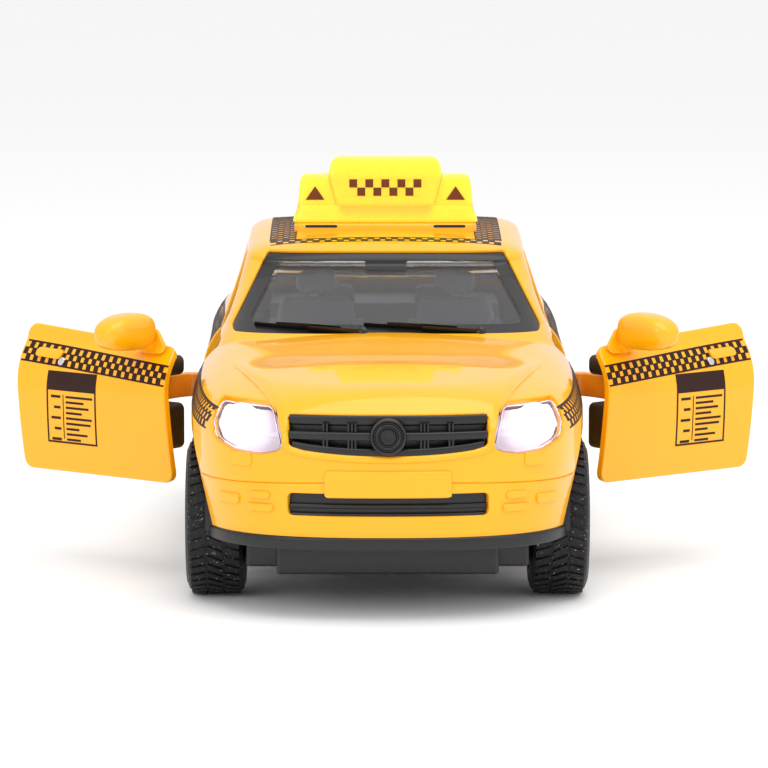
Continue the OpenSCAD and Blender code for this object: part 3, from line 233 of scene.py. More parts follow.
def cabin_at(up):
    """Front, rear and half width of the cabin at a share of its wall's height"""
    front = cabin_y[0] + (roof_y[0] - cabin_y[0]) * up
    rear = cabin_y[1] + (roof_y[1] - cabin_y[1]) * up
    return front, rear, cabin_w + (roof_w - cabin_w) * up


def cabin_point(uv):
    """Up the pillars (0 to 1), round the roof's edge (1 to 2), then in over the roof (2 to 3)"""
    wide, along = cabin_ring(uv[:, 0])
    up = np.clip(uv[:, 1], -1, 1)
    turn = np.clip(uv[:, 1] - 1, 0, 1) * math.pi / 2
    deck = np.clip(uv[:, 1] - 2, 0, 1)
    front, rear, half = cabin_at(up)
    inset = roof_reach * (1 - np.cos(turn)) + deck * (roof_w - roof_reach)
    x = wide * (half - inset)
    y = (front + rear) / 2 + along * ((rear - front) / 2 - inset)
    rise = roof_crown * np.maximum(0, 1 - (x / (roof_w - roof_reach)) ** 2)
    z = cabin_foot_z + (roof_line(y) - roof_drop - cabin_foot_z) * up + (roof_drop + rise) * np.sin(turn)
    return np.stack([x, y, z], 1)


def cabin_share(y, z):
    """How far up the cabin's wall a point lies"""
    return (z - cabin_foot_z) / (roof_line(y) - roof_drop - cabin_foot_z)


def cabin_gap(p):
    """Distance outside the cabin's wall, negative inside"""
    up = np.clip(cabin_share(p[:, 1], p[:, 2]), -0.3, 1)
    front, rear, half = cabin_at(up)
    share = np.abs(2 * p[:, 1] - front - rear) / (rear - front)
    size = ((np.abs(p[:, 0]) / half) ** cabin_side + share ** cabin_end) ** (1 / cabin_side)
    return (size - 1) * half


def cabin_x(y, z):
    """Half width of the cabin at a station and a height"""
    front, rear, half = cabin_at(cabin_share(y, z))
    share = np.minimum(1, np.abs(2 * y - front - rear) / (rear - front))
    return half * (1 - share ** cabin_end) ** (1 / cabin_side)


print("roof from", roof_line(roof_y[0]).round(1), "to", roof_line(roof_y[1]).round(1))

# %% [markdown]
# ## Sheets that can be cut
# Door, window and lamp openings are cut straight out of the grids: a face that an outline crosses is
# clipped, and the new corner is moved along its edge until it lies on the outline. A boolean would do
# this too, but it leaves thin triangles that spoil the gloss. Each cut sheet then becomes a closed shell
# with a rolled edge, as paint gathers round the edge of a casting.

# %% The sheet
class Sheet:
    """Faces over two parameters of a surface"""

    def __init__(self, point, us, vs):
        self.point = point
        self.uv = np.array([(u, v) for v in vs for u in us], float)
        n = len(us)
        self.faces = [
            (j * n + i, j * n + i + 1, (j + 1) * n + i + 1, (j + 1) * n + i)
            for j in range(len(vs) - 1) for i in range(n - 1)
        ]

    def cut(self, keep):
        """Only the part where keep is above zero"""
        value = keep(self.point(self.uv))
        inside = value > 0
        pairs = {}
        kept = []
        for face in self.faces:
            flags = [inside[i] for i in face]
            if all(flags):
                kept.append(face)
            elif any(flags):
                loop = []
                for a, b in zip(face, face[1:] + face[:1]):
                    if inside[a]:
                        loop.append(a)
                    if inside[a] != inside[b]:
                        key = (a, b) if inside[a] else (b, a)
                        loop.append(pairs.setdefault(key, len(self.uv) + len(pairs)))
                kept.append(tuple(loop))
        uv = self.uv
        if pairs:
            ends = np.array(list(pairs))
            near, step = uv[ends[:, 0]], uv[ends[:, 1]] - uv[ends[:, 0]]
            low, high = np.zeros(len(ends)), np.ones(len(ends))
            for _ in range(22):
                mid = (low + high) / 2
                good = keep(self.point(near + step * mid[:, None])) > 0
                low, high = np.where(good, mid, low), np.where(good, high, mid)
            uv = np.vstack([uv, near + step * low[:, None]])
        used = sorted({i for f in kept for i in f})
        place = {old: new for new, old in enumerate(used)}
        part = Sheet.__new__(Sheet)
        part.point, part.uv = self.point, uv[used]
        part.faces = [tuple(place[i] for i in f) for f in kept]
        return part

    def surface(self, out=0.0, flip=False):
        """Points, outward normals and faces, moved out along the normals"""
        h = 1e-4
        p = self.point(self.uv)
        du = self.point(self.uv + [h, 0]) - self.point(self.uv - [h, 0])
        dv = self.point(self.uv + [0, h]) - self.point(self.uv - [0, h])
        n = np.cross(du, dv)
        size = np.linalg.norm(n, axis=1, keepdims=True)
        n = np.where(size > 1e-14, n / np.maximum(size, 1e-14), [0, 0, 1.0])
        faces = self.faces
        if flip:
            n = -n
            faces = [f[::-1] for f in faces]
        return p + n * out, n, faces

# %% Joining and mirroring
def joined(*parts):
    """Several surfaces as one"""
    points, normals, faces, base = [], [], [], 0
    for p, n, f in parts:
        points.append(p)
        normals.append(n)
        faces += [tuple(i + base for i in face) for face in f]
        base += len(p)
    return np.vstack(points), np.vstack(normals), faces


def flipped(surface):
    """The mirror image of a surface across the middle of the car"""
    p, n, faces = surface
    flip = np.array([-1.0, 1, 1])
    return p * flip, n * flip, [tuple(reversed(f)) for f in faces]


def both_sides(surface):
    """A surface and its mirror image"""
    return joined(surface, flipped(surface))


def mirrored(surface):
    """A surface and its mirror image, welded along the middle of the car"""
    both, normals, faces = both_sides(surface)
    middle = np.abs(both[:, 0]) < 1e-3
    both[middle, 0] = 0
    normals[middle, 0] = 0
    _, first, back = np.unique(np.round(both, 4), axis=0, return_index=True, return_inverse=True)
    back = back.ravel()
    welded = []
    for f in faces:
        loop = []
        for i in (int(back[k]) for k in f):
            if i not in loop:
                loop.append(i)
        if len(loop) > 2:
            welded.append(tuple(loop))
    return both[first], normals[first], welded

# %% Closed shells
def shell(surface, thick, lip=0.3, steps=3):
    """A closed shell: outer face, rolled edge, return and inner face. Points may differ in thickness."""
    p, n, faces = surface
    thick = np.broadcast_to(thick, len(p))[:, None]
    directed = {(a, b) for f in faces for a, b in zip(f, f[1:] + f[:1])}
    rim = [(a, b) for a, b in directed if (b, a) not in directed]
    rim.sort()
    out = np.zeros_like(p)
    for a, b in rim:
        side = np.cross(p[b] - p[a], n[a] + n[b])
        size = np.linalg.norm(side)
        if size > 1e-12:
            out[a] += side / size
            out[b] += side / size
    ids = sorted({i for e in rim for i in e})
    at = {i: k for k, i in enumerate(ids)}
    t = out[ids] - n[ids] * np.sum(out[ids] * n[ids], axis=1, keepdims=True)
    t /= np.maximum(np.linalg.norm(t, axis=1, keepdims=True), 1e-9)
    points, normals = [p], [n]
    for k in range(1, steps + 1):
        a = math.pi / 2 * k / steps
        points.append(p[ids] + t * lip * math.sin(a) - n[ids] * lip * (1 - math.cos(a)))
        normals.append(n[ids] * math.cos(a) + t * math.sin(a))
    points += [p[ids] + t * lip - n[ids] * thick[ids], p - n * thick]
    normals += [t, -n]
    size, count = len(p), len(ids)
    strip = lambda r, i: i if r == 0 else size + (r - 1) * count + at[i]
    inner = size + (steps + 1) * count
    closed = list(faces) + [tuple(inner + i for i in reversed(f)) for f in faces]
    for a, b in rim:
        for r in range(steps + 1):
            closed.append((strip(r, b), strip(r, a), strip(r + 1, a), strip(r + 1, b)))
        closed.append((strip(steps + 1, b), strip(steps + 1, a), inner + a, inner + b))
    return np.vstack(points), np.vstack(normals), closed

# %% Outlines with round corners
def outside(p, corners, r=0.0):
    """Distance outside a rounded polygon, negative inside"""
    c = np.array(corners, float)
    near = np.full(len(p), np.inf)
    inside = np.zeros(len(p), bool)
    for a, b in zip(c, np.roll(c, -1, axis=0)):
        e = b - a
        w = p - a
        t = np.clip(w @ e / (e @ e), 0, 1)
        near = np.minimum(near, np.sum((w - t[:, None] * e) ** 2, axis=1))
        crosses = (a[1] > p[:, 1]) != (b[1] > p[:, 1])
        rise = e[1] if e[1] else 1.0
        inside ^= crosses & (p[:, 0] < a[0] + (p[:, 1] - a[1]) / rise * e[0])
    return np.where(inside, -1, 1) * np.sqrt(near) - r


def arc_corners(corners, r, steps=5):
    """A closed outline through corners, each rounded by an arc"""
    c = np.array(corners, float)
    points = []
    for before, at, after in zip(np.roll(c, 1, axis=0), c, np.roll(c, -1, axis=0)):
        u = (before - at) / np.linalg.norm(before - at)
        v = (after - at) / np.linalg.norm(after - at)
        half = math.acos(np.clip(u @ v, -1, 1)) / 2
        size = min(r, 0.45 * min(np.linalg.norm(before - at), np.linalg.norm(after - at)) * math.tan(half))
        back = size / math.tan(half)
        centre = at + (u + v) / np.linalg.norm(u + v) * size / math.sin(half)
        a, b = at + u * back - centre, at + v * back - centre
        for k in range(steps + 1):
            t = k / steps
            w = (1 - t) * a + t * b
            points.append(centre + w / np.linalg.norm(w) * size)
    return np.array(points)


YZ, XZ = [1, 2], [0, 2]
print("sheet tools ready")

# %% [markdown]
# ## Finishes
# One function turns hex colours to linear light and one adds nodes. Each material is named for what the
# real one is. A picture of the paint could be wrapped round the car, but it would smear over the curves,
# so every finish is worked out from Object coordinates: a slow noise shifts the colour a little, and a
# fine one, with its width in millimetres, makes the grain. Real moulding grain is about 0.05 mm wide, too
# fine to show in a render of the whole car, so grain is drawn several times as coarse.

# %% Colour and node helpers
def linear(code, alpha=1.0):
    """An sRGB hex colour as linear light"""
    parts = [int(code[i:i + 2], 16) / 255 for i in (1, 3, 5)]
    return [c / 12.92 if c <= 0.04045 else ((c + 0.055) / 1.055) ** 2.4 for c in parts] + [alpha]


def add(tree, kind, settings=None, links=None):
    """One node with its settings and its links"""
    node = tree.nodes.new(kind)
    for key, value in (settings or {}).items():
        if isinstance(key, str) and hasattr(node, key) and key not in node.inputs:
            setattr(node, key, value)
        else:
            node.inputs[key].default_value = value
    for key, socket in (links or {}).items():
        tree.links.new(socket, node.inputs[key])
    return node


def finish_of(name, colour, roughness, grain_mm=0.4, grain=0.05, patch=0.06, patch_mm=9.0, **sockets):
    """A material with a fine grain in its height and slow patches in its colour and gloss"""
    material = bpy.data.materials.new(name)
    material.use_nodes = True
    tree = material.node_tree
    shader = tree.nodes["Principled BSDF"]
    for key, value in sockets.items():
        shader.inputs[key.replace("_", " ")].default_value = value
    where = add(tree, "ShaderNodeTexCoord")
    slow = add(tree, "ShaderNodeTexNoise", {"Scale": 1 / (patch_mm * MM), "Detail": 3.0},
               {"Vector": where.outputs["Object"]})
    base = linear(colour)
    low = [c * (1 - patch) for c in base[:3]] + [1]
    high = [min(1, c * (1 + patch)) for c in base[:3]] + [1]
    tint = add(tree, "ShaderNodeMix", {"data_type": "RGBA", 6: low, 7: high}, {0: slow.outputs["Fac"]})
    tree.links.new(tint.outputs[2], shader.inputs["Base Color"])
    fine = add(tree, "ShaderNodeTexNoise", {"Scale": 1 / (grain_mm * MM), "Detail": 2.0},
               {"Vector": where.outputs["Object"]})
    gloss = add(tree, "ShaderNodeMapRange", {"To Min": roughness * 0.85, "To Max": min(1, roughness * 1.15)},
                {"Value": fine.outputs["Fac"]})
    tree.links.new(gloss.outputs["Result"], shader.inputs["Roughness"])
    bump = add(tree, "ShaderNodeBump", {"Strength": 1.0, "Distance": grain * grain_mm * MM},
               {"Height": fine.outputs["Fac"]})
    tree.links.new(bump.outputs["Normal"], shader.inputs["Normal"])
    return material

# %% Paint and print
# Zinc sprayed and baked: a flat, warm yellow under a hard gloss. The orange peel is about 1.2 mm wide.
enamel = finish_of("stoved_enamel_yellow", "#FFB005", 0.36, grain_mm=1.2, grain=0.012, patch=0.025,
                   Specular_IOR_Level=0.2, Coat_Weight=0.8, Coat_Roughness=0.05, Coat_IOR=1.45)
# The same kind of paint on the hinge arms, but darker, more orange and less even.
arm_paint = finish_of("stoved_enamel_orange", "#F6981A", 0.42, grain_mm=0.5, grain=0.05, patch=0.08,
                      Coat_Weight=0.5, Coat_Roughness=0.15)
# Ink from a soft pad: a thin, dark brown film that is duller than the paint and a little patchy.
ink = finish_of("pad_print_brown", "#2C0E05", 0.45, grain_mm=0.25, grain=0.04, patch=0.2, patch_mm=2.0,
                Specular_IOR_Level=0.25)
# The same ink on the sign: light comes up through the plastic and turns it a warmer brown.
ink_sign = finish_of("pad_print_sign", "#6B3208", 0.45, grain_mm=0.25, grain=0.04, patch=0.2, patch_mm=2.0,
                     Specular_IOR_Level=0.25)
# Black screen print on the glass: flat and even, a clean frame round the windscreen.
frit = finish_of("screen_print_black", "#151417", 0.3, grain_mm=0.3, grain=0.02, patch=0.1)

# %% Plastics
# Black ABS from a polished mould: deep black, with a soft sheen along each edge.
black_abs = finish_of("moulded_abs_black", "#101012", 0.32, grain_mm=0.25, grain=0.06, patch=0.12)
# Black ABS from a sanded mould: the same black without the sheen, on the inner side of the doors.
trim_black = finish_of("moulded_abs_trim", "#120F10", 0.5, grain_mm=0.3, grain=0.08, patch=0.1)
# Grey ABS, matt: the seats are seen through the glass as dim grey shapes.
grey_abs = finish_of("moulded_abs_grey", "#77767B", 0.5, grain_mm=0.35, grain=0.08, patch=0.08)
# Clear polystyrene from a polished mould: faintly grey, with sharp reflections.
clear = finish_of("clear_polystyrene", "#DDE2E6", 0.03, grain_mm=4.0, grain=0.002, patch=0.01,
                  Transmission_Weight=1.0, IOR=1.49)
# The same plastic without the grey, in the lamps: it glitters at its edge and lets the lit bowl through.
lens_clear = finish_of("clear_lamp_polystyrene", "#FBFAFF", 0.05, grain_mm=1.5, grain=0.01, patch=0.01,
                       Transmission_Weight=1.0, IOR=1.49)
# Cloudy yellow polystyrene: light spreads below its surface, and a faint painted glow is added, so the sign looks
# brighter than the paint.
glowing_sign_yellow = finish_of("translucent_polystyrene_yellow_painted_glow", "#FBDF26", 0.28, grain_mm=0.8, grain=0.02,
                        patch=0.03, Subsurface_Weight=0.55, Subsurface_Radius=(0.004, 0.003, 0.0006),
                        Subsurface_Scale=1.0, Coat_Weight=0.4, Coat_Roughness=0.12,
                        Emission_Color=linear("#FFD510"), Emission_Strength=0.12)
# Red polystyrene: dark red where it is thick, brighter where the bowl behind sends light back.
red_lens = finish_of("red_lamp_polystyrene", "#A80E14", 0.12, grain_mm=1.0, grain=0.02, patch=0.05,
                     Transmission_Weight=0.35, IOR=1.49, Coat_Weight=0.6, Coat_Roughness=0.05)
# White acetal straight from the mould: waxy, neither glossy nor matt.
acetal = finish_of("moulded_acetal_white", "#E6E1D3", 0.45, grain_mm=0.4, grain=0.05, patch=0.05)
# Solder mask on the circuit board: an even green lacquer.
board_green = finish_of("solder_mask_green", "#1F6B3A", 0.3, grain_mm=0.5, grain=0.03, patch=0.1)
# Soft PVC: nearly black and dull, with a coarse grain that breaks up the light.
tyre_pvc = finish_of("soft_pvc_black", "#0E0E10", 0.5, grain_mm=0.35, grain=0.3, patch=0.2, patch_mm=3.0,
                     Specular_IOR_Level=0.35)

# %% Metals
# Plastic plated in a vacuum: a bright, slightly cool mirror.
chrome = finish_of("vacuum_metallised_chrome", "#DADCE0", 0.1, grain_mm=0.6, grain=0.02, patch=0.03,
                   Metallic=1.0)
# Nickel on drawn steel: a softer, greyer mirror.
steel = finish_of("nickel_plated_steel", "#A9ABAE", 0.28, grain_mm=0.2, grain=0.05, patch=0.08, Metallic=1.0)
# Steel blued by heat: dark and bluish, with a dull shine.
spring_steel = finish_of("blued_spring_steel", "#5C6470", 0.3, grain_mm=0.2, grain=0.05, patch=0.1,
                         Metallic=1.0)
# Brass rolled to strip: a warm yellow metal with a soft shine.
brass = finish_of("rolled_brass", "#C9A14A", 0.3, grain_mm=0.3, grain=0.04, patch=0.1, Metallic=1.0)
# Silver paint on ABS: its flakes shine as metal does, but greyer and softer than plating.
rim_silver = finish_of("silver_painted_abs", "#B9BCC2", 0.3, grain_mm=0.2, grain=0.04, patch=0.06,
                       Metallic=0.7)

# %% Pale specks on the tyres
# The peaks of a fine noise on the soft PVC become pale grey specks about 0.3 mm wide.
speck_mm, speck_from, speck_to = 0.3, 0.69, 0.76
tyre_tree = tyre_pvc.node_tree
tyre_colour = tyre_tree.nodes["Principled BSDF"].inputs["Base Color"]
plain_tint = tyre_colour.links[0].from_socket
tyre_where = add(tyre_tree, "ShaderNodeTexCoord").outputs["Object"]
speck_noise = add(tyre_tree, "ShaderNodeTexNoise", {"Scale": 1 / (speck_mm * MM), "Detail": 1.0},
           {"Vector": tyre_where})
speck = add(tyre_tree, "ShaderNodeMapRange", {"From Min": speck_from, "From Max": speck_to},
            {"Value": speck_noise.outputs["Fac"]})
specked_tint = add(tyre_tree, "ShaderNodeMix", {"data_type": "RGBA", 7: linear("#9A9A9C")},
             {0: speck.outputs["Result"], 6: plain_tint})
tyre_tree.links.new(specked_tint.outputs[2], tyre_colour)

# %% Finishes of the solids that stay in sight
cad_finish = {
    "body_paint": enamel, "clear_plastic": clear, "sign_plastic": glowing_sign_yellow, "black_plastic": black_abs,
    "lamp_lens": lens_clear, "chrome": chrome, "led_resin": lens_clear, "red_lens": red_lens,
    "grey_plastic": grey_abs, "board": board_green, "switch_plastic": black_abs, "steel": steel,
    "spring_steel": spring_steel, "cell_steel": steel, "brass": brass, "speaker_black": black_abs,
    "motor_plastic": acetal, "gear_plastic": acetal, "tyre": tyre_pvc, "rim_silver": rim_silver,
}
for part in frame["record"]["subparts"]:
    node = frame["nodes"][part["node"]]
    for k in range(max(1, len(node.material_slots))):
        if not node.material_slots:
            node.data.materials.append(None)
        node.material_slots[k].material = cad_finish[part["material_slot"]]
print("finishes:", len(bpy.data.materials))

# %% [markdown]
# ## Lit headlamps
# The lamps are lit by an LED in each bowl. A small light object in each lamp would do it, but it would
# not go along with an exported mesh. So the bowl itself glows: most round the LED, and less with the
# distance from it, which the material works out from Object coordinates.

# %% The glow of the lamps
lens_low, lens_high = box_mm("left_headlight_lens")
lamp_mid = (lens_low + lens_high) / 2
glow_near, glow_far, glow_full, glow_rest = 1.8, 5.0, 1.0, 0.06


def glow_material():
    """White plastic bowl lit from its middle"""
    # Moulded white ABS: the LED turns it a cool, bright white that fades outwards.
    material = finish_of("moulded_abs_white", "#EFE8F6", 0.3, grain_mm=1.0, grain=0.02, patch=0.01)
    tree = material.node_tree
    shader = tree.nodes["Principled BSDF"]
    where = add(tree, "ShaderNodeTexCoord")
    apart = add(tree, "ShaderNodeSeparateXYZ", None, {0: where.outputs["Object"]})
    wide = add(tree, "ShaderNodeMath", {"operation": "ABSOLUTE"}, {0: apart.outputs["X"]})
    across = add(tree, "ShaderNodeCombineXYZ", None, {"X": wide.outputs[0], "Z": apart.outputs["Z"]})
    led = (lamp_mid[0] * MM, 0, lamp_mid[2] * MM)
    away = add(tree, "ShaderNodeVectorMath", {"operation": "DISTANCE", 1: led}, {0: across.outputs[0]})
    power = add(tree, "ShaderNodeMapRange", {
        "From Min": glow_near * MM, "From Max": glow_far * MM, "To Min": glow_full, "To Max": glow_rest,
    }, {"Value": away.outputs["Value"]})
    tree.links.new(power.outputs["Result"], shader.inputs["Emission Strength"])
    shader.inputs["Emission Color"].default_value = linear("#EDE0FF")
    return material


lit_bowl = glow_material()
print("lamp middle", lamp_mid.round(1))

# %% [markdown]
# ## Making pieces
# Every piece goes through one function. It makes the mesh at its place on the car, so the object itself
# stays at the origin, gives it its finish and sets it on the body that carries it. A piece from a formula
# brings its own normals, which keep its reflections smooth. Other pieces are shaded smooth up to an
# angle.

# %% The piece maker
def piece(name, surface, material, body, stands_for=(), sharp=None):
    """A named mesh on a body. Without sharp, the given normals are used as they are."""
    p, n, faces = surface
    mesh = bpy.data.meshes.new(name)
    mesh.from_pydata((p * MM).tolist(), [], faces)
    mesh.polygons.foreach_set("use_smooth", [True] * len(mesh.polygons))
    if sharp is None:
        mesh.normals_split_custom_set_from_vertices(n.tolist())
    else:
        mesh.set_sharp_from_angle(angle=math.radians(sharp))
    mesh.materials.append(material)
    obj = bpy.data.objects.new(name, mesh)
    bpy.context.scene.collection.objects.link(obj)
    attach(obj, body)
    if stands_for:
        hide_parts(*stands_for)
    print(name, len(mesh.polygons), "faces")
    return obj

# %% [markdown]
# ## The body shell
# The real body is one zinc casting. Here it is one sheet from the sill over the shoulder, cut for the
# doors, the wheels, the lamps and the grilles, and open under the cabin. Lines between fixed panels are
# cast in as grooves. A dark stripe in the material would look flat from the side, so each groove is a
# narrow cut with a floor.

# %% Openings
door_low = np.array([front_axle_y + 20.5, 14.2])
door_high = np.array([front_axle_y + 50.5, cowl_z - 0.7])
door_r, door_gap, lip = 1.6, 0.35, 0.3
door_rise, door_lean = 1.7, 1.4


def rounded_box(low, high, r):
    """Corner points of a box, inside its corner radius"""
    left, right, foot, top = low[0] + r, high[0] - r, low[1] + r, high[1] - r
    return [(left, foot), (right, foot), (right, top), (left, top)]


door_corners = [
    (door_low[0] + door_r, door_low[1] + door_r), (door_high[0] - door_r, door_low[1] + door_r),
    (door_high[0] + door_lean - door_r, door_high[1] + door_rise - door_r),
    (door_low[0] + door_lean + door_r, door_high[1] - door_r),
]

# %% Outlines of the lamps and grilles
lamp_r, lamp_gap = 0.9, 0.1
headlight = arc_corners([
    (0.82 * half_w, nose_z + 0.2), (0.555 * half_w, nose_z + 0.1), (0.51 * half_w, nose_z - 5.7),
    (0.625 * half_w, nose_z - 6.4), (0.75 * half_w, nose_z - 6.1), (0.85 * half_w, nose_z - 4.9),
    (0.865 * half_w, nose_z - 2.5),
], 1.3, 6)
tail_z0, tail_z1 = deck_z - 9.4, deck_z - 5.6
tail_light = [
    (0.5 * half_w, tail_z0), (0.85 * half_w, tail_z0 + 0.5 * lamp_r), (0.85 * half_w, tail_z1),
    (0.46 * half_w, tail_z1 - 0.5 * lamp_r),
]
grille_w, grille_z0, grille_z1, grille_r = 0.49 * half_w, nose_z - 6.6, nose_z - 0.9, 0.7


def grille_foot(x):
    """How far the grille's lower edge has risen at a place across"""
    return 1.1 * abs(x / grille_w) ** 2.2


grille_x = grille_w - grille_r
grille_low = [(x, grille_z0 + grille_r + grille_foot(x)) for x in np.linspace(-grille_x, grille_x, 17)]
grille_hole = [(grille_x, grille_z1 - grille_r), (-grille_x, grille_z1 - grille_r)] + grille_low
intake_z0, intake_z1 = sill_z + 3.2, sill_z + 6.4
intake_hole = rounded_box((-grille_w, intake_z0), (grille_w, intake_z1), grille_r)
print("grille", round(2 * grille_w, 1), "wide,", round(grille_z1 - grille_z0, 1), "high")

# %% Where the casting is open
FAR = 99.0
cabin_overlap = 0.8


def at_end(p, sign, distance):
    """A distance that only holds at one end of the car"""
    return np.where(sign * p[:, 1] > 0.55 * half_len, distance, FAR)


def body_keep(p):
    """Above zero on the casting, below in its openings"""
    holes = [
        outside(p[:, YZ], door_corners, door_r) - door_gap,
        np.hypot(p[:, 1] - front_axle_y, p[:, 2] - axle_z) - arch_r,
        np.hypot(p[:, 1] - rear_axle_y, p[:, 2] - axle_z) - arch_r,
        at_end(p, -1, outside(p[:, XZ], headlight) - lamp_gap),
        at_end(p, 1, outside(p[:, XZ], tail_light, lamp_r) - lamp_gap),
        at_end(p, -1, outside(p[:, XZ], grille_hole, grille_r)),
        at_end(p, -1, outside(p[:, XZ], intake_hole, grille_r)),
        cabin_gap(p) + cabin_overlap,
    ]
    return np.min(holes, axis=0) - lip

# %% Grooves between the fixed panels
groove, groove_edge, groove_floor_room, groove_deep = 0.34, 0.12, 0.5, 0.45
rear_door_arch, arch_ahead = 15.6, 9.5
bumper_line = ((8.8, 20.0), (40, 18.9))
rear_bumper_z, boot_y, boot_low_z, boot_lean = 22.2, 0.775 * half_len, 24, 0.02
flap_mid, flap_r = (0.77 * half_len, 29), 2.6


def line_gap(p, a, b):
    """Distance from a straight stretch"""
    a, b = np.array(a, float), np.array(b, float)
    t = np.clip((p - a) @ (b - a) / ((b - a) @ (b - a)), 0, 1)
    return np.linalg.norm(p - a - t[:, None] * (b - a), axis=1)


def rear_door_line(p):
    """Distance from the edge of the rear door, which doesn't open: foot, wheel arch and rear edge"""
    side = p[:, YZ]
    low = door_low[1]
    from_arch = np.abs(np.hypot(side[:, 0] - rear_axle_y, side[:, 1] - axle_z) - rear_door_arch)
    on_arch = (side[:, 0] < rear_axle_y - arch_ahead) & (side[:, 1] > low + 0.01)
    foot_y = rear_axle_y - math.sqrt(rear_door_arch ** 2 - (axle_z - low) ** 2)
    top_y = rear_axle_y - arch_ahead
    top_z = axle_z + math.sqrt(rear_door_arch ** 2 - arch_ahead ** 2)
    near = np.min([
        line_gap(side, (door_high[0] + 0.6, low), (foot_y, low)),
        np.where(on_arch, from_arch, FAR),
        line_gap(side, (top_y, top_z), (top_y + 1.5, cowl_z + 2)),
    ], axis=0)
    return np.where(np.abs(p[:, 0]) > 0.8 * half_w, near, FAR)


def shut_lines(p):
    """Distance from the nearest groove"""
    across = np.abs(p[:, 0])
    bumper = line_gap(np.stack([across, p[:, 2]], 1), *bumper_line)
    bumper = np.where(p[:, 1] < front_axle_y - 11.5, bumper, FAR)
    rear_bumper = np.where(p[:, 1] > rear_axle_y + 12.5, np.abs(p[:, 2] - rear_bumper_z), FAR)
    on_boot = (p[:, 1] > boot_y) & (across < 0.72 * half_w) & (p[:, 2] > boot_low_z)
    boot = np.where(on_boot, np.abs(across - 0.66 * half_w + boot_lean * (36 - p[:, 2])), FAR)
    flap = np.abs(np.hypot(p[:, 1] - flap_mid[0], p[:, 2] - flap_mid[1]) - flap_r)
    flap = np.where(p[:, 0] < -0.5 * half_w, flap, FAR)
    return np.min([rear_door_line(p), bumper, rear_bumper, boot, flap], axis=0)

# %% The casting
ring_steps = 300
ups = np.concatenate([np.linspace(0, 1, 27), np.linspace(1, 2, 17)[1:], np.linspace(2, 3, 16)[1:]])
skin = Sheet(body_point, np.linspace(0, 1, ring_steps), ups).cut(body_keep)
panels = skin.cut(lambda p: shut_lines(p) - groove / 2 - groove_edge)
floors = skin.cut(lambda p: groove / 2 + groove_floor_room - shut_lines(p))
casting = shell(mirrored(panels.surface()), wall, lip)
groove_floor = mirrored(floors.surface(-groove_deep))
piece("body_casting", joined(casting, groove_floor), enamel, "body", ["body_shell"])

# %% [markdown]
# ## The cabin
# Pillars and roof belong to the same casting. They are drawn as a second sheet, because one grid over
# bonnet, pillars and roof would have to fold where the screen meets the bonnet. The windows are cut out
# of it as the doors were.

# %% The cabin's windows
window_r, belt_z = 1.2, cowl_z + 1.9
glass_top = roof_base - 2.4 * roof_drop
front_window = [
    (cabin_y[0] + 0.27 * half_len, belt_z), (door_high[0] - 0.9 * window_r, belt_z),
    (door_high[0] - 0.9 * window_r, glass_top), (roof_y[0] + 0.125 * half_len, glass_top),
]
rear_window = [
    (door_high[0] + 2.4 * window_r, belt_z), (cabin_y[1] - 0.33 * half_len, belt_z),
    (roof_y[1] - 0.16 * half_len, glass_top), (door_high[0] + 2.4 * window_r, glass_top),
]
screen_r, screen_top = 0.6, glass_top + 1.2 * window_r
screen = [
    (-0.79 * half_w, belt_z), (0.79 * half_w, belt_z),
    (0.62 * half_w, screen_top), (-0.62 * half_w, screen_top),
]
back_light = [
    (-0.68 * half_w, deck_z + 2.2 * window_r), (0.68 * half_w, deck_z + 2.2 * window_r),
    (0.54 * half_w, glass_top + window_r), (-0.54 * half_w, glass_top + window_r),
]


def window_gap(p):
    """Distance outside the nearest window, negative inside"""
    middle = (cabin_y[0] + cabin_y[1]) / 2
    front = np.where(p[:, 1] < middle, outside(p[:, XZ], screen, screen_r), FAR)
    rear = np.where(p[:, 1] > middle, outside(p[:, XZ], back_light, window_r), FAR)
    return np.min([
        outside(p[:, YZ], front_window, window_r), outside(p[:, YZ], rear_window, window_r), front, rear,
    ], axis=0)


def cabin_keep(p):
    """Above zero on pillars and roof"""
    return np.minimum(window_gap(p), outside(p[:, YZ], door_corners, door_r) - door_gap) - lip

# %% Pillars and roof
cabin_ups = np.concatenate([np.linspace(-0.05, 1, 25), np.linspace(1, 2, 13)[1:], np.linspace(2, 3, 12)[1:]])
cabin_sheet = Sheet(cabin_point, np.linspace(0, 1, 280), cabin_ups)
cabin_shell = shell(mirrored(cabin_sheet.cut(cabin_keep).surface()), wall, lip)
piece("cabin_casting", cabin_shell, enamel, "body", ["body_shell"])

# %% [markdown]
# ## Glazing
# One clear moulding sits just inside the pillars and fills all the windows. It could be a solid block
# with the windows' shapes, but glass that thick bends what is seen through it, so it is a thin shell of
# the cabin's own surface, moved in a little. The windscreen carries a black printed border, a film a few
# hundredths of a millimetre thick.

# %% Clear moulding
glass_t, glass_in, glass_overlap = 0.8, 0.5, 0.6
glass_ups = np.concatenate([np.linspace(0.2, 1, 26), np.linspace(1, 1.95, 12)[1:]])
glass_sheet = Sheet(cabin_point, np.linspace(0, 1, 220), glass_ups)
glass_sheet = glass_sheet.cut(lambda p: glass_overlap - window_gap(p))
piece("glazing", shell(mirrored(glass_sheet.surface(-glass_in)), glass_t, 0.1, 2), clear, "body",
      ["window_insert"])

# %% Printed border
border_r, tab_r, border_overlap, border_t = 0.8, 0.4, 0.4, 0.03
border = [
    (-0.685 * half_w, belt_z + 1.4), (0.685 * half_w, belt_z + 1.4), (0.555 * half_w, glass_top),
    (-0.555 * half_w, glass_top),
]
tab = [(-2.7, glass_top + 0.1), (2.7, glass_top + 0.1), (3.2, glass_top + 3), (-3.2, glass_top + 3)]


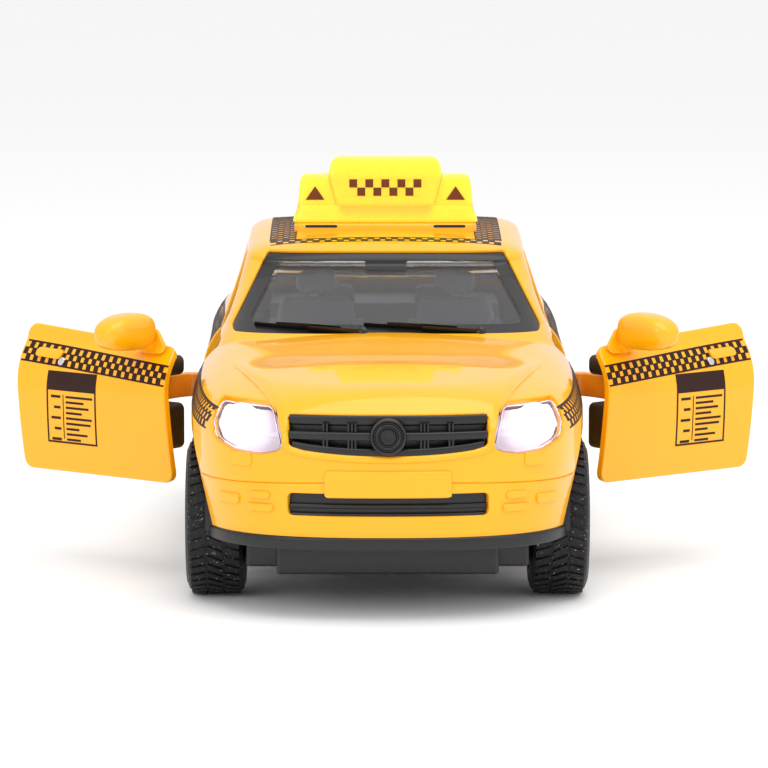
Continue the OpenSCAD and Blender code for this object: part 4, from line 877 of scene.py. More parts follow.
def border_keep(p):
    """Above zero on the printed border of the windscreen"""
    bare = np.minimum(-outside(p[:, XZ], border, border_r), outside(p[:, XZ], tab, tab_r))
    near = border_overlap - outside(p[:, XZ], screen, screen_r)
    return np.where(p[:, 1] < 0, np.minimum(near, -bare), -1.0)


border_ups = np.concatenate([np.linspace(0.2, 1, 50), np.linspace(1, 1.95, 20)[1:]])
border_sheet = Sheet(cabin_point, np.linspace(0, 0.4, 160), border_ups).cut(border_keep)
border_film = shell(mirrored(border_sheet.surface(border_t + 0.01 - glass_in)), border_t, 0.01, 1)
piece("screen_border", border_film, frit, "body")

# %% [markdown]
# ## Doors
# A door is a casting with a goose-neck arm that runs back to its pin inside the wing. It could be drawn
# in its open place, but then its edge would never quite match the opening. So it is cut from the body's
# side with the same outline, drawn shut, and then swung open by the angle that the joint gives.

# %% Swinging
def swung(surface, side):
    """Turn a door's surface, drawn shut on the left (+X), to its open place on a side (1 left, -1 right)"""
    p, n, faces = surface
    c, s = math.cos(-door_open), math.sin(-door_open)
    turn = np.array([[c, -s, 0], [s, c, 0], [0, 0, 1]])
    pin = np.array([pin_x, pin_y, 0])
    p, n = (p - pin) @ turn.T + pin, n @ turn.T
    return (p, n, faces) if side > 0 else flipped((p, n, faces))

# %% Rounded plates
def walls(rows, around, loop=False):
    """Faces between rows of points that run round a shape. With loop, the last row meets the first."""
    faces = []
    for j in range(rows if loop else rows - 1):
        above = (j + 1) % rows
        for i in range(around):
            k = (i + 1) % around
            faces.append((j * around + i, j * around + k, above * around + k, above * around + i))
    return faces


def capped(rows, around):
    """The same walls with a flat face at either end"""
    last = tuple(range((rows - 1) * around, rows * around))
    return [tuple(reversed(range(around)))] + walls(rows, around) + [last]


def slab(edge, low, high, r, place, steps=3):
    """A plate with rounded edges: an outline in a and b, from low to high in c, mapped to its place"""
    edge = np.array(edge, float)
    ahead, behind = np.roll(edge, -1, axis=0) - edge, edge - np.roll(edge, 1, axis=0)
    ahead /= np.linalg.norm(ahead, axis=1, keepdims=True)
    behind /= np.linalg.norm(behind, axis=1, keepdims=True)
    normal = np.stack([ahead[:, 1] + behind[:, 1], -ahead[:, 0] - behind[:, 0]], 1)
    normal /= np.maximum(0.35, np.sum(normal ** 2, axis=1, keepdims=True) / 2)
    rows = []
    for k in range(steps + 1):
        a = math.pi / 2 * k / steps
        rows.append((r * (1 - math.sin(a)), low + r * (1 - math.cos(a))))
    for k in range(steps + 1):
        a = math.pi / 2 * k / steps
        rows.append((r * (1 - math.cos(a)), high - r * (1 - math.sin(a))))
    m = len(edge)
    points = np.vstack([
        np.column_stack([edge - normal * inset, np.full(m, c)]) for inset, c in rows
    ])
    placed = place(points)
    return placed, np.zeros_like(placed), capped(len(rows), m)

# %% The door's skin
skin_blend = 0.8
door_wall, door_top_wall, door_thin_z = 0.8 * wall, 0.36, 33.8


def skin_x(y, z):
    """The outer of body side and cabin wall, run together softly"""
    a, b = side_x(y, z), cabin_x(y, np.maximum(z, cabin_foot_z))
    blend = np.clip(0.5 + 0.5 * (b - a) / skin_blend, 0, 1)
    meet = a + (b - a) * blend + 0.5 * skin_blend * blend * (1 - blend)
    return np.where(z > cabin_foot_z, meet, a)


door_sheet = Sheet(
    lambda uv: np.column_stack([skin_x(uv[:, 0], uv[:, 1]), uv[:, 0], uv[:, 1]]),
    np.linspace(door_low[0] - 0.5, door_high[0] + door_lean + 0.5, 66),
    np.linspace(door_low[1] - 0.5, door_high[1] + door_rise + 0.3, 60),
).cut(lambda p: -outside(p[:, YZ], door_corners, door_r) - lip)
door_surface = door_sheet.surface()
door_thick = door_wall - (door_wall - door_top_wall) * ramp(door_surface[0][:, 2] - door_thin_z)
door_skin = shell(door_surface, door_thick, lip)
print("door skin", len(door_skin[2]), "faces")

# %% The hinge arm
arm_z0, arm_z1 = sill_z + 14.3, sill_z + 17.9
arm_half, arm_edge_r, eye_r = 1.0, 0.3, 2.1
arm_neck, pin_ahead, pin_inside = 4.3, door_low[0] - pin_y, half_w - pin_x
arm_path = np.array([
    (0, 0), (0.97 * arm_neck, 0.85 * pin_ahead), (1.03 * arm_neck, 1.38 * pin_ahead),
    (0.6 * arm_neck, 1.64 * pin_ahead), (-0.62 * pin_inside, 1.64 * pin_ahead),
])


def ribbon(path, half):
    """Outline of a strip of even width along a path"""
    path = np.array(path, float)
    run = np.gradient(path, axis=0)
    run /= np.linalg.norm(run, axis=1, keepdims=True)
    across = np.stack([run[:, 1], -run[:, 0]], 1) * half
    return np.vstack([path + across, (path - across)[::-1]])


def smooth_path(points, per=8):
    """Points on a smooth curve through a few points"""
    points = np.array(points, float)
    t = np.arange(len(points))
    fine = np.linspace(0, len(points) - 1, per * (len(points) - 1) + 1)
    curves = [through(np.column_stack([t, values])) for values in points.T]
    return np.column_stack([curve(fine) for curve in curves])


def circle(middle, r, count):
    """Points round a circle"""
    angles = np.linspace(0, 2 * math.pi, count + 1)[:-1]
    return [(middle[0] + r * math.cos(a), middle[1] + r * math.sin(a)) for a in angles]


def arm_place(q):
    """From the arm's own plan to the shut door on the left"""
    return np.column_stack([pin_x - q[:, 0], pin_y + q[:, 1], q[:, 2]])


def facing_out(surface):
    """Normals from the faces, with the faces turned to point outwards"""
    p, _, faces = surface
    volume = 0.0
    for f in faces:
        for i in range(1, len(f) - 1):
            volume += np.dot(p[f[0]], np.cross(p[f[i]], p[f[i + 1]]))
    if volume < 0:
        faces = [tuple(reversed(f)) for f in faces]
    return p, np.zeros_like(p), faces


arm_edge = ribbon(smooth_path(arm_path), arm_half)
arm = joined(*[
    facing_out(slab(edge, arm_z0, arm_z1, arm_edge_r, arm_place))
    for edge in (arm_edge, circle((0, 0), eye_r, 28))
])
print("hinge arm", len(arm[2]), "faces")

# %% Handle, key and the plate that carries the mirror
handle_y, handle_z, handle_len = door_high[0] - 7.4, cowl_z - 3.9, 5.2
handle_out, handle_sunk, key_r = 0.75, -0.3, 0.6


def on_side(q):
    """From stations, heights and a height above the skin to the body's left side"""
    return np.column_stack([skin_x(q[:, 0], q[:, 1]) + q[:, 2], q[:, 0], q[:, 1]])


def on_cabin(q):
    """From stations, heights and a height above the skin to the cabin's left side"""
    body_x = side_x(q[:, 0], np.minimum(q[:, 1], door_high[1] - 0.7))
    x = np.maximum(cabin_x(q[:, 0], q[:, 1]), body_x)
    return np.column_stack([x + q[:, 2], q[:, 0], q[:, 1]])


handle_edge = arc_corners([
    (handle_y, handle_z - 0.1), (handle_y + handle_len, handle_z + 0.2),
    (handle_y + handle_len, handle_z + 1.5), (handle_y, handle_z + 1.3),
], 0.6)
sail_edge = arc_corners([
    (door_low[0] + 2.1, door_high[1] - 1.2), (door_low[0] + 9.4, door_high[1] - 1.2),
    (door_low[0] + 5.8, door_high[1] + 2.6), (door_low[0] + 4.4, door_high[1] + 2.4),
], 0.9)
key_edge = circle((handle_y - 0.3, handle_z - 0.3), key_r, 24)
handle = facing_out(slab(handle_edge, handle_sunk, handle_out, 0.35, on_side))
sail_plate = facing_out(slab(sail_edge, 0.25, 0.95, 0.3, on_cabin))
key = facing_out(slab(key_edge, handle_sunk, 0.4, 0.1, on_side))
print("handle from", round(handle_y, 1), "to", round(handle_y + handle_len, 1))

# %% Both doors
SIDES = ((1, "left"), (-1, "right"))
for side, word in SIDES:
    body = f"{word}_door_body"
    piece(f"{word}_door_skin", swung(door_skin, side), enamel, body, [f"{word}_door"])
    arm_here = facing_out(swung(arm, side))
    piece(f"{word}_door_arm", arm_here, arm_paint, body, [f"{word}_door"], sharp=40)
    handle_here = facing_out(swung(joined(handle, sail_plate), side))
    piece(f"{word}_door_handle", handle_here, enamel, body, sharp=40)
    piece(f"{word}_door_key", facing_out(swung(key, side)), chrome, body, sharp=40)

# %% [markdown]
# ## What repeats
# Checkers, tread blocks, spokes and nuts are copies of one shape. An array modifier could repeat them
# too, but it can't leave out every second square. So Geometry Nodes lay them out: a tree takes a count
# and a size, puts copies on points and makes them real. Its result is read back as plain points and
# faces, because the flat checkers still have to be wrapped round the car.

# %% The ends of every tree
def layout_tree(name, **inputs):
    """An empty tree with named inputs and one geometry output"""
    tree = bpy.data.node_groups.new(name, "GeometryNodeTree")
    tree.interface.new_socket("Geometry", in_out="OUTPUT", socket_type="NodeSocketGeometry")
    for key, kind in inputs.items():
        tree.interface.new_socket(key, in_out="INPUT", socket_type="NodeSocket" + kind)
    return tree, add(tree, "NodeGroupInput").outputs


def hand_out(tree, copies, finish):
    """Make the copies real, paint them and hand them out"""
    real = add(tree, "GeometryNodeRealizeInstances", None, {0: copies})
    painted = add(tree, "GeometryNodeSetMaterial", None, {"Geometry": real.outputs[0], "Material": finish})
    add(tree, "NodeGroupOutput", None, {0: painted.outputs[0]})
    return tree

# %% A tree for checkers
def checker_tree():
    """Every second square of a grid"""
    tree, given = layout_tree("checker_band", Columns="Int", Rows="Int", Wide="Float", High="Float",
                              Thick="Float", Fill="Float", Finish="Material")
    index = add(tree, "GeometryNodeInputIndex").outputs[0]
    share = add(tree, "ShaderNodeMath", {"operation": "DIVIDE"}, {0: index, 1: given["Rows"]})
    column = add(tree, "ShaderNodeMath", {"operation": "FLOOR"}, {0: share.outputs[0]})
    row = add(tree, "ShaderNodeMath", {"operation": "MODULO"}, {0: index, 1: given["Rows"]})
    both = add(tree, "ShaderNodeMath", {"operation": "ADD"}, {0: column.outputs[0], 1: row.outputs[0]})
    odd = add(tree, "ShaderNodeMath", {"operation": "MODULO", 1: 2.0}, {0: both.outputs[0]})
    spans = []
    for count, size in (("Columns", "Wide"), ("Rows", "High")):
        fewer = add(tree, "ShaderNodeMath", {"operation": "SUBTRACT", 1: 1.0}, {0: given[count]})
        spans.append(add(tree, "ShaderNodeMath", {"operation": "MULTIPLY"},
                         {0: fewer.outputs[0], 1: given[size]}))
    grid = add(tree, "GeometryNodeMeshGrid", None, {
        "Size X": spans[0].outputs[0], "Size Y": spans[1].outputs[0],
        "Vertices X": given["Columns"], "Vertices Y": given["Rows"],
    })
    wide, high = [
        add(tree, "ShaderNodeMath", {"operation": "MULTIPLY"}, {0: given[key], 1: given["Fill"]}).outputs[0]
        for key in ("Wide", "High")
    ]
    size = add(tree, "ShaderNodeCombineXYZ", None, {"X": wide, "Y": high, "Z": given["Thick"]})
    square = add(tree, "GeometryNodeMeshCube", None, {"Size": size.outputs[0]})
    copies = add(tree, "GeometryNodeInstanceOnPoints", None, {
        "Points": grid.outputs[0], "Selection": odd.outputs[0], "Instance": square.outputs[0],
    })
    return hand_out(tree, copies.outputs[0], given["Finish"])

# %% A tree for rings
def ring_tree():
    """Copies of a piece turned evenly round the X axis"""
    tree, given = layout_tree("ring_of_copies", Piece="Object", Count="Int", Finish="Material")
    points = add(tree, "GeometryNodeMeshLine", {"Offset": (0, 0, 0)}, {"Count": given["Count"]})
    index = add(tree, "GeometryNodeInputIndex").outputs[0]
    share = add(tree, "ShaderNodeMath", {"operation": "DIVIDE"}, {0: index, 1: given["Count"]})
    angle = add(tree, "ShaderNodeMath", {"operation": "MULTIPLY", 1: 2 * math.pi}, {0: share.outputs[0]})
    turn = add(tree, "ShaderNodeCombineXYZ", None, {"X": angle.outputs[0]})
    source = add(tree, "GeometryNodeObjectInfo", None, {"Object": given["Piece"]})
    copies = add(tree, "GeometryNodeInstanceOnPoints", None, {
        "Points": points.outputs[0], "Instance": source.outputs["Geometry"], "Rotation": turn.outputs[0],
    })
    return hand_out(tree, copies.outputs[0], given["Finish"])

# %% Running a tree
def laid_out(tree, **values):
    """Run a tree once and read its result back"""
    holder = bpy.data.objects.new("holder", bpy.data.meshes.new("holder"))
    bpy.context.scene.collection.objects.link(holder)
    layout = holder.modifiers.new("layout", "NODES")
    layout.node_group = tree
    for socket in tree.interface.items_tree:
        if socket.in_out == "INPUT":
            layout[socket.identifier] = values[socket.name]
    seen = holder.evaluated_get(bpy.context.evaluated_depsgraph_get())
    mesh = bpy.data.meshes.new_from_object(seen)
    points = np.array([v.co for v in mesh.vertices])
    faces = [tuple(f.vertices) for f in mesh.polygons]
    holder.modifiers.remove(layout)
    bpy.data.objects.remove(holder)
    bpy.data.meshes.remove(mesh)
    return points, np.zeros_like(points), faces


checkers, rings = checker_tree(), ring_tree()


def ring(surface, count, finish):
    """A ring of copies of a surface round the X axis"""
    p, _, faces = surface
    mesh = bpy.data.meshes.new("copy")
    mesh.from_pydata(p.tolist(), [], faces)
    one = bpy.data.objects.new("copy", mesh)
    bpy.context.scene.collection.objects.link(one)
    made = laid_out(rings, Piece=one, Count=count, Finish=finish)
    bpy.data.objects.remove(one)
    return made


print("trees:", [t.name for t in bpy.data.node_groups])

# %% [markdown]
# ## Printed bands
# The checkers are pad-printed on the paint: three rows along the sides and doors, and on the roof two
# rows across its front and rear and four along its sides. Thin lines border each band. A checker texture
# in the paint would do from afar, but its edges follow the grid of the texture and not the car's lines.
# So each band is laid out flat as thin film and wrapped on the surface, a few hundredths of a millimetre
# proud of it.

# %% Lofts
def loft(rings_of_points):
    """A closed skin over rings of points, with flat ends"""
    rows = np.array(rings_of_points, float)
    p = rows.reshape(-1, 3)
    return facing_out((p, np.zeros_like(p), capped(*rows.shape[:2])))


def section(half_a, half_b, r, steps=4):
    """A rounded rectangle about the origin"""
    return arc_corners([(-half_a, -half_b), (half_a, -half_b), (half_a, half_b), (-half_a, half_b)], r, steps)

# %% Flat bands
film, film_gap = 0.06, 0.02
band_rows, band_cell, band_high, band_line = 3, 0.79, 0.86, 0.26
band_z = through([(-half_len, 26.6), (-0.75 * half_len, 28.3), (door_low[0], 30.3), (door_high[0], 32.3),
                  (half_len, 33.4)])


def strip(a0, a1, b0, b1, step=1.2):
    """A flat closed strip, cut in short lengths so that it can bend"""
    count = max(2, int(abs(a1 - a0) / step) + 2)
    high = max(2, int(abs(b1 - b0) / step) + 2)
    bs = np.linspace(b0, b1, high)
    edge = [(b, -film / 2) for b in bs] + [(b, film / 2) for b in bs[::-1]]
    return loft([[(a, b, c) for b, c in edge] for a in np.linspace(a0, a1, count)])


def checker_band(length, rows, cell, high, line, fill=1.16):
    """A flat band of checkers with a border line above and below, from 0 along a, centred in b"""
    columns = max(2, int(round(length / cell)))
    p, n, faces = laid_out(checkers, Columns=columns, Rows=rows, Wide=length / columns, High=high, Thick=film,
                           Fill=fill, Finish=ink)
    p = p + [length / 2, 0, 0]
    edge = rows * high / 2
    return joined((p, n, faces), strip(0, length, edge, edge + line), strip(0, length, -edge - line, -edge))


def side_band(length):
    """A flat band as the sides and doors have it"""
    return checker_band(length, band_rows, band_cell, band_high, band_line)


def wrapped(surface, place):
    """A flat print laid on a surface"""
    p, _, faces = surface
    p = place(p)
    return p, np.zeros_like(p), faces


def side_print(start):
    """Place of a band that starts at a station of the body's side"""
    def place(q):
        y = start + q[:, 0]
        return on_side(np.column_stack([y, band_z(y) + q[:, 1], q[:, 2] + film_gap]))

    return place

# %% Bands on the wings
rear_end, quarter_start = 59.2, door_high[0] + 2.2
fender_start, fender_x = door_low[0] + 0.2, 0.88 * half_w
fender_y = np.linspace(fender_start, -0.93 * half_len, 900)
fender_side = side_x(fender_y, band_z(fender_y))
fender_run = np.concatenate([[0], np.cumsum(np.hypot(np.diff(fender_y), np.diff(fender_side)))])
fender_len = float(np.interp(-fender_x, -fender_side, fender_run))


def fender_print(q):
    """Place of the band on the front wing, by its length along the curve of the wing"""
    y = np.interp(q[:, 0], fender_run, fender_y)
    return on_side(np.column_stack([y, band_z(y) + q[:, 1], q[:, 2] + film_gap]))


fender_band = facing_out(wrapped(side_band(fender_len), fender_print))
quarter_band = wrapped(side_band(rear_end - quarter_start), side_print(quarter_start))
piece("side_checkers", both_sides(joined(fender_band, quarter_band)), ink, "body", sharp=40)

# %% Roof checkers
def roof_top(x, y):
    """Height of the roof, also over its rounded edge"""
    low, high = np.zeros(np.shape(x)), np.full(np.shape(x), roof_reach)
    middle, half = (roof_y[0] + roof_y[1]) / 2, (roof_y[1] - roof_y[0]) / 2
    for _ in range(30):
        inset = (low + high) / 2
        across, along = np.abs(x) / (roof_w - inset), np.abs(y - middle) / (half - inset)
        size = across ** cabin_side + along ** cabin_end
        low, high = np.where(size < 1, inset, low), np.where(size < 1, high, inset)
    turn = np.arccos(np.clip(1 - (low + high) / 2 / roof_reach, 0, 1))
    rise = roof_crown * np.maximum(0, 1 - (x / (roof_w - roof_reach)) ** 2)
    return roof_line(y) - roof_drop + (roof_drop + rise) * np.sin(turn)


roof_cell, roof_half, roof_line_w = 0.94, 17.9, 0.25
roof_front, roof_rear, front_high, side_gap = -4.3, 30.5, 1.4, 1.2


def roof_print(q, across):
    """Place of a flat band on the roof: across the car or along it"""
    x = q[:, 0] - roof_half if across else np.full(len(q), roof_half) - q[:, 1] - 2 * roof_cell
    y = roof_front + q[:, 1] if across else roof_front + q[:, 0]
    return np.column_stack([x, y, roof_top(x, y) + q[:, 2] + film_gap])


front_strip = wrapped(checker_band(2 * roof_half, 2, roof_cell, front_high, roof_line_w),
                      lambda q: roof_print(q, True))
rear_strip = wrapped(checker_band(2 * roof_half, 2, roof_cell, roof_cell, roof_line_w),
                     lambda q: roof_print(q + [0, roof_rear - roof_front, 0], True))
side_strip = wrapped(checker_band(roof_rear - roof_front - 2 * side_gap, 4, roof_cell, roof_cell, 0.2),
                     lambda q: roof_print(q + [side_gap, 0, 0], False))
piece("roof_checkers", joined(front_strip, rear_strip, both_sides(side_strip)), ink, "body",
      sharp=40)

# %% [markdown]
# ## Prints on the doors
# The doors carry on the bands of the sides, and below them a printed panel: a frame with a dark head and
# bars in two columns, set out like a price list. Each bar is a strip of film, so the panel bends with the
# door.

# %% The panel's bars
panel_y0, panel_y1, panel_z0, panel_z1 = door_high[0] - 15.4, door_high[0] - 5.4, 18.7, 29.7
panel_line, rule_y, rule_w, header_z = 0.28, panel_y0 + 3.3, 0.14, panel_z1 - 2.9
row_pitch, row_high, price_high, column_gap = 0.82, 0.34, 0.4, 0.6
panel_parts = [
    (panel_y0, panel_y1, header_z, panel_z1),
    (panel_y0, panel_y1, panel_z0, panel_z0 + panel_line),
    (panel_y0, panel_y0 + panel_line, panel_z0, header_z),
    (panel_y1 - panel_line, panel_y1, panel_z0, header_z),
    (rule_y, rule_y + rule_w, panel_z0 + 0.7, header_z - 0.6),
]
for k, length in enumerate((5.4, 3.6, 4.6, 3.2, 5.2, 4.9, 2.6, 4.2, 2.8)):
    z = header_z - 0.75 - row_pitch * k
    panel_parts.append((rule_y + column_gap, rule_y + column_gap + length, z - row_high, z))
    if k % 2 == 0:
        price = 1.9 if k % 4 == 0 else 1.3
        panel_parts.append((rule_y - 0.5 - price, rule_y - 0.5, z - price_high, z))
print("panel of", len(panel_parts), "strips")

# %% Door prints
def fare_panel(flip):
    """The panel on the door. Its narrow column is on the left as it is read, so one door turns it round."""
    turned = lambda y: panel_y0 + panel_y1 - y if flip else y
    place = lambda q: on_side(np.column_stack([turned(q[:, 0]), q[:, 1], q[:, 2] + film_gap]))
    return joined(*[facing_out(wrapped(strip(*part), place)) for part in panel_parts])


door_band = wrapped(side_band(door_high[0] - door_low[0] - 0.5), side_print(door_low[0] + 1.2))
for side, word in SIDES:
    print_here = facing_out(swung(joined(door_band, fare_panel(side < 0)), side))
    piece(f"{word}_door_print", print_here, ink, f"{word}_door_body", sharp=40)

# %% [markdown]
# ## Roof sign
# The sign is one translucent moulding: a flared foot, two low wings and a taller middle that stands
# forward of them. A box with bevels would do for the wings, but not for the middle, whose sides lean out.
# So wings and middle are outlines seen from the front and given depth, thinner towards the top. The foot
# is a stack of rounded rectangles that shrink as they climb.

# %% The sign
sign_low, sign_high = box_mm("roof_sign")
sign_y, sign_z, sign_h = (sign_low[1] + sign_high[1]) / 2, sign_low[2], sign_high[2] - sign_low[2]
sign_foot, sign_deep = sign_high[0], (sign_high[1] - sign_low[1]) / 2
wing_w, wing_h, block_w = 0.95 * sign_foot, 0.73 * sign_h, 0.62 * sign_foot


def sign_depth(z):
    """Half depth of the sign at a height above its foot"""
    return sign_deep * (0.93 - 0.36 * np.clip(z / sign_h, 0, 1))


def sign_place(q):
    """From across, up and a share of the depth to the roof"""
    return np.column_stack([q[:, 0], sign_y + q[:, 2] / sign_deep * sign_depth(q[:, 1]), sign_z + q[:, 1]])


wing_deep = 0.86
wings = arc_corners([
    (-wing_w - 0.2, 0.4), (wing_w + 0.2, 0.4), (wing_w - 0.5, wing_h), (0.5 - wing_w, wing_h),
], 1.1)
block = arc_corners([
    (-0.8 * block_w, 0.5), (0.8 * block_w, 0.5), (block_w, 0.7 * sign_h),
    (0.93 * block_w, sign_h), (-0.93 * block_w, sign_h), (-block_w, 0.7 * sign_h),
], 1.7, 7)
flare_rings = []
for trim, z in ((0.3, 0.02), (0.08, 0.12), (0, 0.3), (0.1, 0.7), (0.32, 1.3), (0.58, 2.0), (0.86, 2.8)):
    around = section(sign_foot - trim, sign_deep - 0.15 - 0.75 * trim, 1.0, 5)
    flare_rings.append([(a, sign_y + b, sign_z + z) for a, b in around])
sign_parts = [
    facing_out(slab(wings, -wing_deep * sign_deep, wing_deep * sign_deep, 0.7, sign_place)),
    facing_out(slab(block, -sign_deep, sign_deep, 0.9, sign_place, 5)),
    loft(flare_rings),
]
piece("sign_moulding", joined(*sign_parts), glowing_sign_yellow, "body", ["roof_sign"], sharp=38)

# %% The sign's plinth
pad_w, pad_y, pad_z = 14.4, (sign_low[1] - 0.7, sign_high[1] + 1.5), 46.6
pad = arc_corners([(-pad_w, pad_y[0]), (pad_w, pad_y[0]), (pad_w, pad_y[1]), (-pad_w, pad_y[1])], 1.2)
piece("sign_plinth", facing_out(slab(pad, pad_z, roof_z, 0.5, lambda q: q)), enamel, "body",
      sharp=40)


def on_plinth(q):
    """From across, up and a depth to the front of the plinth"""
    return np.column_stack([q[:, 0], pad_y[0] + q[:, 2], sign_z + q[:, 1]])


# Two thin black plates on the plinth's front, just under the sign's foot, are painted shade: black plastic stands
# for the dark under the foot.
foot_shade_edge = arc_corners([(7.6, -0.62), (12.6, -0.62), (12.6, -0.2), (7.6, -0.2)], 0.15)
foot_shades = facing_out(slab(foot_shade_edge, -0.06, 0.3, 0.02, on_plinth, 1))
piece("plinth_slots", both_sides(foot_shades), black_abs, "body", sharp=40)

# %% Sign print
mark_x, mark_z, mark_w, mark_h = 0.76 * sign_foot, 0.35 * sign_h, 1.5, 2.15
row_half, row_z = 5.7, 0.54 * sign_h
row_cell, row_tall, row_fill, hairline = 1.27, 1.3, 0.98, 0.0001
triangle = [(mark_x - mark_w, mark_z), (mark_x + mark_w, mark_z), (mark_x, mark_z + mark_h)]


def sign_face(sign, stand):
    """Place of a print on the front (-1) or rear (1) of the sign, where it has a share of its full depth"""
    def place(q):
        y = sign_y + sign * (sign_depth(q[:, 1]) * stand + film_gap + q[:, 2])
        return np.column_stack([q[:, 0], y, sign_z + q[:, 1]])

    return place


sign_prints = []
for sign in (-1, 1):
    mark = facing_out(slab(triangle, -film / 2, film / 2, 0.005, sign_face(sign, wing_deep), 1))
    p, n, faces = checker_band(2 * row_half, 2, row_cell, row_tall, hairline, row_fill)
    row = wrapped((p + [-row_half, row_z, 0], n, faces), sign_face(sign, 1.0))
    sign_prints += [both_sides(mark), row]
piece("sign_print", joined(*[facing_out(s) for s in sign_prints]), ink_sign, "body", sharp=40)

# %% [markdown]
# ## Grille and intake
# The grille is a black moulding with three thick bars that follow the curve of the nose, thin uprights in
# the two slots and a plain domed boss in the middle. A curve object with a bevel could make the bars.
# Here they are lofts, one rounded section moved along the nose, because a loft keeps its ends closed and
# its edges crisp.

# %% Bars along the nose
def nose_bar(x0, x1, z_at, half_high, inset, deep, count=49, r=0.3):
    """A bar along the nose: z_at gives its middle height at a place across"""
    rings_here = []
    for x in np.linspace(x0, x1, count):
        z = z_at(x)
        y = nose_y(x, z) + inset
        rings_here.append([(x, y + deep / 2 + a, z + b) for a, b in section(deep / 2, half_high, r)])
    return loft(rings_here)


def spun(profile, middle, way, steps=48):
    """A closed profile of (out, radius) points turned round an axis through a middle"""
    way = np.array(way, float) / np.linalg.norm(way)
    side = np.cross(way, (0, 0, 1.0))
    side /= np.linalg.norm(side)
    up = np.cross(side, way)
    angles = np.linspace(0, 2 * math.pi, steps, endpoint=False)
    p = np.array([
        np.array(middle) + way * out + (side * math.cos(a) + up * math.sin(a)) * radius
        for a in angles for out, radius in profile
    ])
    return facing_out((p, np.zeros_like(p), walls(steps, len(profile), loop=True)))

# %% Bars and uprights of the grille
bar_end, upright_x, upright_half = 0.3, (4.6, 5.1, 5.6, 8.6, 9.1), 0.75
slot_z = (grille_z0 + 3.95, grille_z0 + 1.95)
grille_mid = (grille_z0 + grille_z1) / 2
bars = [
    nose_bar(bar_end - grille_w, grille_w - bar_end, lambda x: grille_z1 - 0.75, 0.72, 0.15, 1.7),
    nose_bar(bar_end - grille_w, grille_w - bar_end, lambda x: grille_z0 + 2.85 + 0.1 * abs(x) / grille_w,
             0.6, 0.2, 1.6),
    nose_bar(0.7 - grille_w, grille_w - 0.7, lambda x: grille_z0 + 0.55 + grille_foot(x), 0.62, 0.1, 1.6),
]
for z in slot_z:
    for x in upright_x:
        y = nose_y(x, z) + 0.75
        for s in (-1, 1):
            bars.append(loft([[(s * x + a, y + b, h) for a, b in section(0.16, 0.5, 0.1, 2)]
                              for h in (z - upright_half, z + upright_half)]))
back = nose_bar(0.4 - grille_w, grille_w - 0.4, lambda x: grille_mid + 0.2, 2.3, 2.4, 0.4)
print("grille bars and uprights:", len(bars))

# %% The boss and the raised rim
boss_z, boss_out, boss_scale, boss_way = grille_mid + 0.05, 0.25, 0.94, (0, -1, 0.12)
boss_rings = [
    (0, 0.02), (0.25, 0.02), (0.45, 0.9), (0.4, 1.15), (0.2, 1.3), (0.2, 1.5), (0.5, 1.62), (0.55, 1.75),
    (0.5, 1.88), (0.12, 2.0), (0.12, 2.2), (0.42, 2.35), (0.48, 2.5), (0.4, 2.68), (0, 2.8), (-1.2, 2.8),
    (-1.2, 0.02),
]
boss_profile = [(out + boss_out, boss_scale * r) for out, r in boss_rings]
boss = spun(boss_profile, (0, nose_y(0.0, boss_z), boss_z), boss_way)
rim_x, rim_top, rim_foot = grille_w + 0.3, grille_z1 + 0.3, grille_z0 + 1.1
rim_low_edge = [(x, grille_z0 - 0.35 + grille_foot(x)) for x in np.linspace(-12, 12, 13)]
rim_path = arc_corners([(rim_x, rim_top), (-rim_x, rim_top), (-rim_x, rim_foot)] + rim_low_edge
                       + [(rim_x, rim_foot)], 1.3, 6)


def piped(path, r, sink, count=10):
    """A closed round bead along an outline on the nose"""
    run = np.roll(path, -1, axis=0) - np.roll(path, 1, axis=0)
    run /= np.linalg.norm(run, axis=1, keepdims=True)
    angles = np.arange(count) * 2 * math.pi / count
    p = []
    for (x, z), (a, b) in zip(path, run):
        y = nose_y(x, z) + sink
        p += [(x + b * r * math.cos(t), y - 0.8 * r * math.sin(t), z - a * r * math.cos(t)) for t in angles]
    return facing_out((np.array(p), np.zeros((len(p), 3)), walls(len(path), count, loop=True)))


piece("grille_rim", piped(rim_path, 0.55, 0.12), enamel, "body", sharp=60)
piece("grille_bars", joined(*bars, back, boss), black_abs, "body", ["grille"], sharp=38)

# %% Lower intake
intake_mid = (intake_z0 + intake_z1) / 2
intake_parts = [
    nose_bar(bar_end - grille_w, grille_w - bar_end, lambda x: intake_mid, (intake_z1 - intake_z0) / 2 + 0.2,
             1.1, 0.7),
    nose_bar(0.4 - grille_w, grille_w - 0.4, lambda x: intake_mid - 0.2, 0.35, 0.45, 0.9),
    nose_bar(0.4 - grille_w, grille_w - 0.4, lambda x: intake_z0 + 0.15, 0.3, 0.3, 1.2),
]
piece("intake_bars", joined(*intake_parts), black_abs, "body", ["lower_grille"], sharp=38)

# %% [markdown]
# ## Lamps
# A clear lens follows the curve of the nose. Behind it lie a white bowl and a reflector ring that the LED
# lights up, so the whole lamp looks white when it is on. The tail lamps are red lenses over plated bowls.
# Lens and bowl could be lumps pushed through the openings, but a gap of even width shows only if both
# follow the body, so they are cut from its own surface.

# %% Pieces cut from the nose or the tail
sheet_room, lamp_step = 0.4, 0.28


def end_sheet(corners, reach_out, room, step, sign):
    """The part of the nose (sign -1) or the tail (sign 1) within a distance of an outline"""
    edge = np.array(corners)
    low, high = edge.min(axis=0) - room, edge.max(axis=0) + room
    place = lambda uv: np.column_stack([uv[:, 0], end_y(uv[:, 0], uv[:, 1], sign), uv[:, 1]])
    sheet = Sheet(place, np.arange(low[0], high[0], step), np.arange(low[1], high[1], step))
    return sheet.cut(lambda p: reach_out - outside(p[:, XZ], edge))


